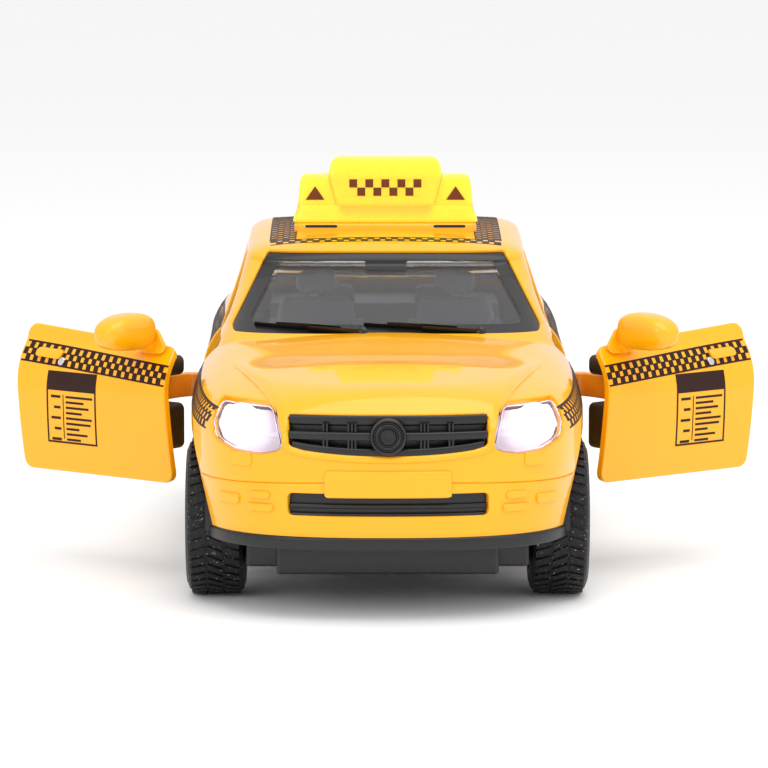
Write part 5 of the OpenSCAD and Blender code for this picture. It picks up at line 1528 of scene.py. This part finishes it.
def lamp(side, corners, r, sign, grow, out, thick, edge):
    """A closed lens or bowl on one side of the car"""
    sheet = end_sheet(corners, r + grow, r + sheet_room, lamp_step, sign)
    made = shell(sheet.surface(out, flip=sign > 0), thick, edge, 3)
    return made if side > 0 else flipped(made)

# %% Headlamps and tail lamps
dish_x, dish_z, dish_back = 0.72 * half_w, nose_z - 2.6, 1.25
dish_profile = [(-0.9, 1.3), (-0.3, 2.1), (0.05, 2.75), (-0.1, 2.9), (-0.6, 2.6), (-1.1, 1.5)]
for side, word in SIDES:
    lens = lamp(side, headlight, 0, -1, -0.35, 0.12, 0.5, 0.22)
    piece(f"{word}_headlamp_lens", lens, lens_clear, "body", [f"{word}_headlight_lens"])
    bowl = lamp(side, headlight, 0, -1, 0.1, -1.5, 0.4, 0.1)
    piece(f"{word}_headlamp_bowl", bowl, lit_bowl, "body")
    dish_mid = (side * dish_x, nose_y(dish_x, dish_z) + dish_back, dish_z)
    dish_ring = spun(dish_profile, dish_mid, (side * 0.3, -0.93, 0.2))
    piece(f"{word}_lamp_reflector", dish_ring, lit_bowl, "body", sharp=50)
    tail_lens = lamp(side, tail_light, lamp_r, 1, -0.35, 0.12, 0.8, 0.25)
    piece(f"{word}_tail_lens", tail_lens, red_lens, "body", [f"{word}_tail_light"])
    tail_bowl = lamp(side, tail_light, lamp_r, 1, 0.1, -1.4, 0.4, 0.1)
    piece(f"{word}_tail_bowl", tail_bowl, chrome, "body")

# %% [markdown]
# ## Relief
# A blank plate, three fog lamp reliefs and a washer cap on each side are cast into the front bumper, and
# a plate, a grip and a rubbing strip into the tail. They are rounded plates that follow the nose or the
# tail. A fine raised line marks each crease of the bonnet. Bump in the paint could fake all of it, but a
# bump is no part of the mesh, so an exported car would lose it.

# %% Plates on the bumpers
relief_deep, relief_edge = 0.8, 0.28


def end_plate(corners, r, out, deep, edge, step=0.35, sign=-1):
    """A raised, rounded plate on the nose (sign -1) or the tail (sign 1)"""
    trimmed = end_sheet(corners, r - edge, sheet_room, step, sign)
    return shell(trimmed.surface(out, flip=sign > 0), deep, edge, 4)


plate_corners = rounded_box((-9.0, sill_z + 5.9), (9.0, sill_z + 9.8), 0.5)
washer = rounded_box((19.2, 21.9), (22.4, 23.9), 0.35)
fog_outer = rounded_box((20.9, 16.2), (24.2, 18.0), 0.7)
fog_high = rounded_box((16.6, 17.4), (19.6, 18.5), 0.5)
fog_low = rounded_box((16.1, 15.5), (19.9, 16.9), 0.6)
rear_plate = rounded_box((-8.8, 23.4), (8.8, 27.4), 0.5)
boot_grip = rounded_box((-6.4, 28.3), (6.4, 29.5), 0.45)
rear_strip_low = rounded_box((-22.0, 15.6), (22.0, 17.0), 0.6)
reliefs = [end_plate(plate_corners, 0.5, 0.42, 0.9, 0.35)]
for corners, r, out in ((rear_plate, 0.5, 0.3), (boot_grip, 0.45, 0.35), (rear_strip_low, 0.6, 0.25)):
    reliefs.append(end_plate(corners, r, out, relief_deep, relief_edge, sign=1))
for corners, r, out in (
    (washer, 0.35, 0.3), (fog_outer, 0.7, 0.4), (fog_high, 0.5, 0.4), (fog_low, 0.6, 0.4),
):
    reliefs.append(both_sides(end_plate(corners, r, out, relief_deep, relief_edge, 0.25)))
print("plates:", len(reliefs))

# %% The bonnet's creases
crease_stretch, crease_r, crease_sunk = (-0.06, 1.1), 0.38, 0.16


def crease_line(count=40, sides=12):
    """A fine raised line along the bonnet's crease, thin at both ends"""
    s, v = np.meshgrid(np.linspace(0, 1, 1600), np.linspace(1, 2.4, 180))
    skin_points = body_point(np.column_stack([s.ravel(), v.ravel()]))
    skin_points = skin_points[(skin_points[:, 1] < -36) & (skin_points[:, 0] > 10)]
    run = crease_rear - crease_front
    share = np.linspace(0, 1, count)
    plan = crease_front + np.linspace(*crease_stretch, count)[:, None] * run
    height = []
    for spot in plan:
        gap = np.hypot(*(skin_points[:, :2] - spot).T)
        near = np.argsort(gap)[:8]
        height.append(np.average(skin_points[near, 2], weights=1 / (gap[near] + 0.02)))
    height = np.polyval(np.polyfit(share, height, 5), share) - crease_sunk
    across = np.array([-run[1], run[0], 0]) / np.linalg.norm(run)
    angles = np.arange(sides) * 2 * math.pi / sides
    outward = np.cos(angles)[:, None] * across + np.sin(angles)[:, None] * np.array([0, 0, 1.0])
    slim = crease_r * np.sqrt(np.sin(math.pi * np.clip(share, 0.01, 0.99)))
    return loft([np.array([*spot, z]) + r * outward for spot, z, r in zip(plan, height, slim)])


reliefs.append(both_sides(crease_line()))
piece("bumper_relief", joined(*reliefs), enamel, "body")

# %% [markdown]
# ## Wheels
# A soft tyre is turned from its profile and carries three rings of tread blocks, each made of copies of
# one block. The rim has a turned barrel, ten spokes, a hub cap and five nuts. A bump pattern would give a
# tread too, but the tyre's outline would stay smooth, and from the front the outline is what shows. A
# wheel is drawn once, with its outer face at the origin, and set down four times.

# %% The tyre's skin
rim_low, rim_high = box_mm("front_left_rim")
rim_r = (rim_high[2] - rim_low[2]) / 2
tyre_w = tyre_out - tyre_in
tread_r, tread_base = tyre_r, tyre_r - 0.35
X_AXIS = (1, 0, 0)
tyre_profile = [
    (-0.5, rim_r - 0.1), (-0.15, rim_r + 0.1), (0, rim_r + 0.9), (0, rim_r + 1.5), (0.02, rim_r + 1.55),
    (0.02, rim_r + 1.8), (-0.1, rim_r + 2.0), (-0.35, rim_r + 2.7), (-0.9, tread_base),
    (-2.2, tread_base + 0.05), (2.2 - tyre_w, tread_base + 0.05), (0.9 - tyre_w, tread_base),
    (0.35 - tyre_w, rim_r + 2.7), (0.05 - tyre_w, rim_r + 1.7), (-tyre_w, rim_r + 0.9),
    (0.15 - tyre_w, rim_r + 0.1), (0.5 - tyre_w, rim_r - 0.1),
]
tyre_skin = spun([(out - 0.03, r) for out, r in tyre_profile], (0, 0, 0), X_AXIS, 96)
print("tyre", round(2 * tyre_r, 1), "across,", round(tyre_w, 1), "wide")

# %% The tread
def tread_block(x0, x1, lean, wide, low, high):
    """One tread block at the top of the wheel, leaning round it from x0 to x1"""
    rings_here = []
    for x, turn in ((x0, -lean), (x1, lean)):
        for_ring = []
        for a, r in ((-wide, low), (wide, low), (wide * 0.9, high), (-wide * 0.9, high)):
            angle = (a + turn) / tread_r
            for_ring.append((x, r * math.sin(angle), r * math.cos(angle)))
        rings_here.append(for_ring)
    return loft(rings_here)


tread_count, tread_sunk, shoulder_low = 46, 0.4, 0.06
pitch = 2 * math.pi * tread_r / tread_count
tread = []
for x0, x1, lean, share, lower in (
    (-0.75, -2.9, 0.35, 0.34, shoulder_low),
    (-3.25, -5.35, -0.5, 0.33, 0),
    (0.75 - tyre_w, 2.9 - tyre_w, 0.35, 0.34, shoulder_low),
):
    one_block = tread_block(x0, x1, lean, share * pitch, tread_base - tread_sunk, tread_r - lower)
    tread.append(ring(one_block, tread_count, tyre_pvc))
tyre = joined(tyre_skin, *tread)
print("tread blocks:", len(tread) * tread_count)

# %% The rim
rim_face = tyre_out - rim_high[0]
rim_mid = (-rim_face, 0, 0)
barrel = spun([
    (-0.2, rim_r - 0.9), (0, rim_r - 0.75), (0.05, rim_r - 0.4), (-0.1, rim_r - 0.05), (-0.6, rim_r),
    (-6.5, rim_r), (-6.5, rim_r - 0.7), (-2.4, rim_r - 1.0), (-0.6, rim_r - 1.05),
], rim_mid, X_AXIS, 72)
spoke_rings = []
for r, half, face, deep in ((1.2, 0.95, -0.75, 1.6), (3.0, 0.62, -0.6, 1.4), (5.0, 0.55, -0.35, 1.2),
                            (rim_r - 0.8, 0.85, -0.1, 1.0)):
    spoke_rings.append([(face - deep / 2 + b - rim_face, a, r) for a, b in section(half, deep / 2, 0.28, 3)])
spokes = ring(loft(spoke_rings), 10, rim_silver)
dish = spun([(-3.4, 0.02), (-3.4, rim_r - 0.9), (-4.2, rim_r - 0.9), (-4.2, 0.02)], rim_mid, X_AXIS, 48)
hub = spun([
    (-0.2, 0.02), (-0.26, 0.5), (-0.45, 0.95), (-0.8, 1.25), (-1.2, 1.3), (-1.2, 2.2), (-2.4, 2.4),
    (-3.6, 2.4), (-3.6, 0.02),
], rim_mid, X_AXIS, 40)
nut_r, nut_ring = 0.28, 1.75
nut = [[(x - rim_face, *spot) for spot in circle((0, nut_ring), nut_r, 6)] for x in (-1.5, -0.75, -0.72)]
nuts = ring(loft(nut), 5, rim_silver)
rim = joined(barrel, spokes, hub, nuts)
print("rim", len(rim[2]), "faces")

# %% Four wheels
def at_wheel(surface, side, axle_y):
    """A wheel's piece at its place on the car"""
    p, n, faces = surface if side > 0 else flipped(surface)
    return p + [side * tyre_out, axle_y, axle_z], n, faces


for end, axle_y in (("front", front_axle_y), ("rear", rear_axle_y)):
    for side, word in SIDES:
        body, wheel = f"{end}_wheelset", f"{end}_{word}"
        tyre_here, rim_here, dish_here = [at_wheel(part, side, axle_y) for part in (tyre, rim, dish)]
        piece(f"{wheel}_tyre_skin", tyre_here, tyre_pvc, body, [f"{wheel}_tyre"], sharp=30)
        piece(f"{wheel}_wheel_rim", rim_here, rim_silver, body, [f"{wheel}_rim"], sharp=35)
        piece(f"{wheel}_wheel_dish", dish_here, black_abs, body, sharp=35)

# %% [markdown]
# ## Mirrors
# Each mirror is a rounded pod that the door carries, painted with it, with a silver glass at its rear. A
# ball scaled to an egg would be too pointed and a box too hard, so a squared ball gives the pod,
# flattened towards the glass and lower at its outer end.

# %% Mirror pods
pod_mid, pod_half = np.array([31.6, -18.7, 36.9]), np.array([5.5, 2.8, 2.95])
pod_power, pod_flat = 2.9, 0.72


def pod_point(uv):
    """A squared ball with a flat rear and a top that falls to the outer end"""
    lon, lat = uv[:, 0], uv[:, 1]
    d = np.column_stack([np.sin(lat), np.cos(lat) * np.cos(lon), np.cos(lat) * np.sin(lon)])
    size = (np.abs(d) ** pod_power).sum(axis=1) ** (-1 / pod_power)
    q = d * size[:, None]
    q[:, 1] = np.minimum(q[:, 1], pod_flat)
    outer = np.clip((q[:, 0] + 0.2) / 1.2, 0, 1)
    q[:, 2] *= np.where(q[:, 2] > 0, 1 - 0.3 * outer ** 2, 0.92 - 0.12 * outer)
    return pod_mid + q * pod_half


def closed_ball(point, around=64, high=40):
    """A closed skin over two angles"""
    lats = np.linspace(-math.pi / 2, math.pi / 2, high)[1:-1]
    lons = np.linspace(0, 2 * math.pi, around, endpoint=False)
    p = point(np.array([(lon, lat) for lat in lats for lon in lons]))
    return facing_out((p, np.zeros_like(p), capped(high - 2, around)))


def at_pod(q):
    """From across, up and a depth to the mirror"""
    return pod_mid + np.column_stack([q[:, 0], q[:, 2], q[:, 1]])

# %% Glass and foot
pod = closed_ball(pod_point)
glass_y = pod_flat * pod_half[1]
mirror_edge = arc_corners([(-3.7, -1.45), (3.6, -1.35), (3.3, 0.95), (-3.7, 1.6)], 0.8)
mirror_glass = facing_out(slab(mirror_edge, glass_y - 0.1, glass_y + 0.06, 0.05, at_pod, 2))
foot_rings = [
    [(x, pod_mid[1] - 0.3 + a, z + b) for a, b in section(1.3, high, 0.6)]
    for x, z, high in ((25.9, 34.9, 1.7), (27.4, 35.4, 1.6), (29.0, 36.0, 1.4))
]
mirror_foot = loft(foot_rings)
for side, word in SIDES:
    body = f"{word}_door_body"
    pod_here = facing_out(swung(joined(pod, mirror_foot), side))
    piece(f"{word}_mirror_pod", pod_here, enamel, body, [f"{word}_mirror"], sharp=60)
    glass_here = facing_out(swung(mirror_glass, side))
    piece(f"{word}_mirror_glass", glass_here, chrome, body, sharp=40)

# %% [markdown]
# ## Seat tops
# The tub ends at the window line, and the seat backs stand on above it, where they are seen through the
# screen. Each is a rounded cushion with a head rest on two posts, and the bench behind has two low head
# rests. They are hard plastic on the toy, so there is no cloth to simulate: an outline seen from the
# front, given depth and round edges, is enough.

# %% Seat tops and head rests
tub_high = box_mm("interior_tub")[1]
seat_mid, seat_back_y, bench_rest_x, bench_back_y = 10.9, 2.2, 8.0, 29.4


def cushion(corners, r, y, half, edge):
    """A rounded cushion drawn from the front"""
    return facing_out(slab(arc_corners(corners, r), -half, half, edge,
                           lambda q: np.column_stack([q[:, 0], y + q[:, 2], tub_high[2] + q[:, 1]]), 4))


def tapered(x, foot_half, top_half, low, high):
    """Corners of a cushion that is narrower at its top"""
    return [(x - foot_half, low), (x + foot_half, low), (x + top_half, high), (x - top_half, high)]


seat_tops = []
for x in (-seat_mid, seat_mid):
    seat_tops.append(cushion(tapered(x, 6.6, 5.4, -1.0, 3.6), 1.6, seat_back_y, 1.3, 0.8))
    seat_tops.append(cushion(tapered(x, 3.4, 2.9, 4.3, 7.6), 1.3, seat_back_y, 1.2, 0.8))
    for post in (-1.4, 1.4):
        seat_tops.append(cushion(tapered(x + post, 0.3, 0.3, 3.2, 4.8), 0.1, seat_back_y, 0.3, 0.1))
for x in (-bench_rest_x, bench_rest_x):
    seat_tops.append(cushion(tapered(x, 3.2, 2.8, -0.6, 2.9), 1.1, bench_back_y, 1.0, 0.6))
piece("seat_tops", joined(*seat_tops), grey_abs, "body", sharp=50)

# %% [markdown]
# ## Chassis lip
# The chassis closes the body from below and shows as a black lip under the bumpers, with a keel between
# the wheels. The solid already has both, but with flat sides and sharp edges. A bevel modifier on its
# loose triangles would crack, so a rounded bar along the outline and a rounded front on the keel cover
# them.

# %% Chassis lip and keel
chassis_low, chassis_high = box_mm("chassis")
lip_low, lip_in = sill_z - 1.6, half_w - chassis_high[0]
lip_bar_in, wheel_room = 0.45, tyre_r + 1.9
shares = np.linspace(0, 1, 2001)
lip_y = body_ring(shares)[1] * (half_len - lip_in)
front_share = float(np.interp(front_axle_y - wheel_room, lip_y, shares))
rear_share = float(np.interp(rear_axle_y + wheel_room, lip_y, shares))


def lip_bar(first, last, sign):
    """A rounded bar under the sill from one side round an end of the car to the other"""
    s = np.linspace(first, last, 90)
    wide, along = body_ring(s)
    left = np.column_stack([wide * (half_w - lip_in), along * (half_len - lip_in)])
    right = (left * [-1, 1])[::-1]
    path = np.vstack([right, left[1:]]) if sign < 0 else np.vstack([left, right[1:]])
    run = np.gradient(path, axis=0)
    run /= np.linalg.norm(run, axis=1, keepdims=True)
    out = np.column_stack([run[:, 1], -run[:, 0]])
    return loft([[(x + a * ox, y + a * oy, (lip_low + sill_z) / 2 + b) for a, b in section(0.7, 0.95, 0.4)]
                 for (x, y), (ox, oy) in zip(path - lip_bar_in * out, out)])


keel_parts = [lip_bar(0, front_share, -1), lip_bar(rear_share, 1, 1)]
keel_y = -half_len + 11.6
for half_wide, low, y in (
    (0.55 * half_w, chassis_low[2] - 0.02, keel_y),
    (0.705 * half_w, chassis_low[2] + 0.6, keel_y + 3.3),
):
    edge = arc_corners([
        (-half_wide, y + 2.2), (-half_wide, y + 0.4), (0.5 - half_wide, y),
        (half_wide - 0.5, y), (half_wide, y + 0.4), (half_wide, y + 2.2),
    ], 0.5)
    keel_parts.append(facing_out(slab(edge, low, lip_low + 0.2, 0.4, lambda q: q)))
piece("chassis_lip", joined(*keel_parts), black_abs, "body", sharp=40)

# %% [markdown]
# ## Door trim
# The inner side of a door is a black moulding: a plate with rounded edges, a pocket, an arm rest and a
# pull. It is seen at the hinge from the front and in full from the side. Plates stacked on one another
# give the relief of a moulding with less work than cutting pockets into one block.

# %% Door trim
trim_low, trim_high = np.array([door_low[0] + 1.3, 19.1]), np.array([door_high[0] - 1.25, 33.2])
trim_face = 23.6


def in_door(q):
    """From station, height and depth inwards to the shut door on the left"""
    x = np.minimum(trim_face + q[:, 2], side_x(q[:, 0], q[:, 1]) - wall)
    return np.column_stack([x, q[:, 0], q[:, 1]])


trim_edge = arc_corners([
    (trim_low[0], trim_low[1]), (trim_high[0], trim_low[1]),
    (trim_high[0], trim_high[1]), (trim_low[0], trim_high[1]),
    (trim_low[0], arm_z1 + 0.3), (trim_low[0] + 4.9, arm_z1 + 0.3), (trim_low[0] + 4.9, arm_z0 - 0.3),
    (trim_low[0], arm_z0 - 0.3),
], 1.0)
rest_edge = arc_corners([(-12.0, 23.6), (0.5, 24.4), (0.5, 26.2), (-12.0, 25.6)], 0.8)
pocket_edge = arc_corners([(-20.0, 20.2), (1.0, 20.2), (1.0, 22.6), (-20.0, 23.2)], 0.9)
pull_edge = arc_corners([(-9.0, 28.6), (-5.0, 28.8), (-5.0, 30.2), (-9.0, 30.2)], 0.6)
for side, word in SIDES:
    parts = [facing_out(slab(trim_edge, 0, 4.1, 0.5, in_door))]
    for edge, proud in ((rest_edge, 0.9), (pocket_edge, 0.6), (pull_edge, 0.45)):
        parts.append(facing_out(slab(edge, -proud, 0.3, 0.35, in_door)))
    piece(f"{word}_door_moulding", facing_out(swung(joined(*parts), side)), trim_black, f"{word}_door_body",
          [f"{word}_door_trim"], sharp=40)

# %% [markdown]
# ## Wipers
# Two black wipers lie along the foot of the screen. Each has an arm from its spindle and a blade with a
# raised bridge. Straight bars would sink into the glass at their middles, so each bar is a loft through
# points on the screen.

# %% Bars that lie on the screen
screen_station = -20.0
screen_way = (0, -0.9, 0.45)


def on_screen(x, z, out):
    """A point on the windscreen, moved out from it"""
    up = cabin_share(np.array([screen_station]), np.array([z]))[0]
    front, rear, half = cabin_at(up)
    y = (front + rear) / 2 - (rear - front) / 2 * (1 - (abs(x) / half) ** cabin_side) ** (1 / cabin_end)
    return np.array([x, y + screen_way[1] * out, z + screen_way[2] * out])


def tube(points, half_a, half_b, r):
    """A rounded bar along points across the screen"""
    outline_here = section(half_a, half_b, r, 2)
    return loft([[p + np.array([0, -0.45 * a - 0.9 * b, 0.9 * a + 0.45 * b]) for a, b in outline_here]
                 for p in points])

# %% Wipers
wiper_z, wiper_fall = 37.7, 0.9
spindle = [(-0.6, 0.02), (-0.6, 0.75), (0.3, 0.7), (0.45, 0.5), (0.5, 0.02)]
wiper_parts = []
for x0, x1 in ((-20.0, -3.6), (-3.4, 14.2)):
    at = lambda t, lift, fall, out: on_screen(x0 + (x1 - x0) * t, wiper_z + lift - fall * t, out)
    blade = [at(t, 0, wiper_fall, -0.35) for t in np.linspace(0, 1, 25)]
    bridge = [at(t, 0.1, wiper_fall, -0.1 + 0.25 * math.sin(math.pi * (t - 0.2) / 0.6))
              for t in np.linspace(0.2, 0.8, 17)]
    arm_points = [at(t, -0.1, 1.0, 0.15) for t in np.linspace(0.5, 1.0, 12)]
    wiper_parts += [
        tube(blade, 0.24, 0.32, 0.1), tube(bridge, 0.38, 0.2, 0.1), tube(arm_points, 0.42, 0.2, 0.12),
        spun(spindle, on_screen(x1, wiper_z - 1.0, 0.1), screen_way, 24),
    ]
piece("wiper_pair", joined(*wiper_parts), black_abs, "body", ["wipers"], sharp=40)

# %% [markdown]
# ## Camera, light and floor
# The photograph is taken with a long lens from straight ahead, about twice as high as the roof. Soft
# white light comes from all round, with a large panel above and a smaller one on either side, and the
# floor is white paper. One strong lamp would give deeper shadows, but a toy in a catalogue is lit so that
# all its sides can be seen.

# %% Camera
photo_focal, photo_size, film_width = 4176.0, 768.0, 36
eye_across, eye_back, eye_up = -3.5, 607.0, 104.0
camera = bpy.data.cameras.new("camera")
camera.sensor_width = film_width
camera.lens = film_width * photo_focal / photo_size
view = bpy.data.objects.new("camera", camera)
bpy.context.scene.collection.objects.link(view)
view.location = (eye_across * MM, (front_axle_y - eye_back) * MM, eye_up * MM)
target = np.array([-0.24, 0.0, 25.4])
aim = target * MM - np.array(view.location)
pitch_up = math.atan2(aim[2], math.hypot(aim[0], aim[1]))
view.rotation_euler = (pitch_up + math.pi / 2, 0, math.atan2(-aim[0], aim[1]))
camera.clip_start = 0.01
bpy.context.scene.camera = view
print("lens", round(camera.lens), "mm")

# %% Light
world = bpy.data.worlds.new("studio")
bpy.context.scene.world = world
world.use_nodes = True
sky = world.node_tree.nodes["Background"]
sky.inputs["Color"].default_value = linear("#FFFFFF")
sky.inputs["Strength"].default_value = 0.92
car_middle = (0, 0, 0.03)


def panel(name, place, size, watts):
    """A soft square light turned to the car"""
    light = bpy.data.lights.new(name, "AREA")
    light.size = size
    light.energy = watts
    shade = bpy.data.objects.new(name, light)
    bpy.context.scene.collection.objects.link(shade)
    shade.location = place
    way = np.array(place) - np.array(car_middle)
    tilt = math.acos(way[2] / np.linalg.norm(way))
    shade.rotation_euler = (tilt, 0, math.atan2(way[1], way[0]) + math.pi / 2)


panel("top_panel", (0.1, -0.15, 0.55), 0.5, 1.5)
panel("front_panel", (-0.35, -0.55, 0.35), 0.35, 0.8)
panel("right_panel", (0.5, -0.35, 0.25), 0.3, 0.3)
print("panels of light:", len(bpy.data.lights))

# %% Floor
# White paper, matt: it takes a soft shadow and otherwise vanishes into the light round it.
paper = finish_of("white_paper", "#FFFFFF", 0.8, grain_mm=2.0, grain=0.01, patch=0.005)
floor_mesh = bpy.data.meshes.new("floor")
floor_mesh.from_pydata([(-3, -3, 0), (3, -3, 0), (3, 3, 0), (-3, 3, 0)], [], [(0, 1, 2, 3)])
floor_mesh.materials.append(paper)
floor = bpy.data.objects.new("floor", floor_mesh)
bpy.context.scene.collection.objects.link(floor)
bpy.context.scene.view_settings.view_transform = "Standard"
print("floor of", paper.name)
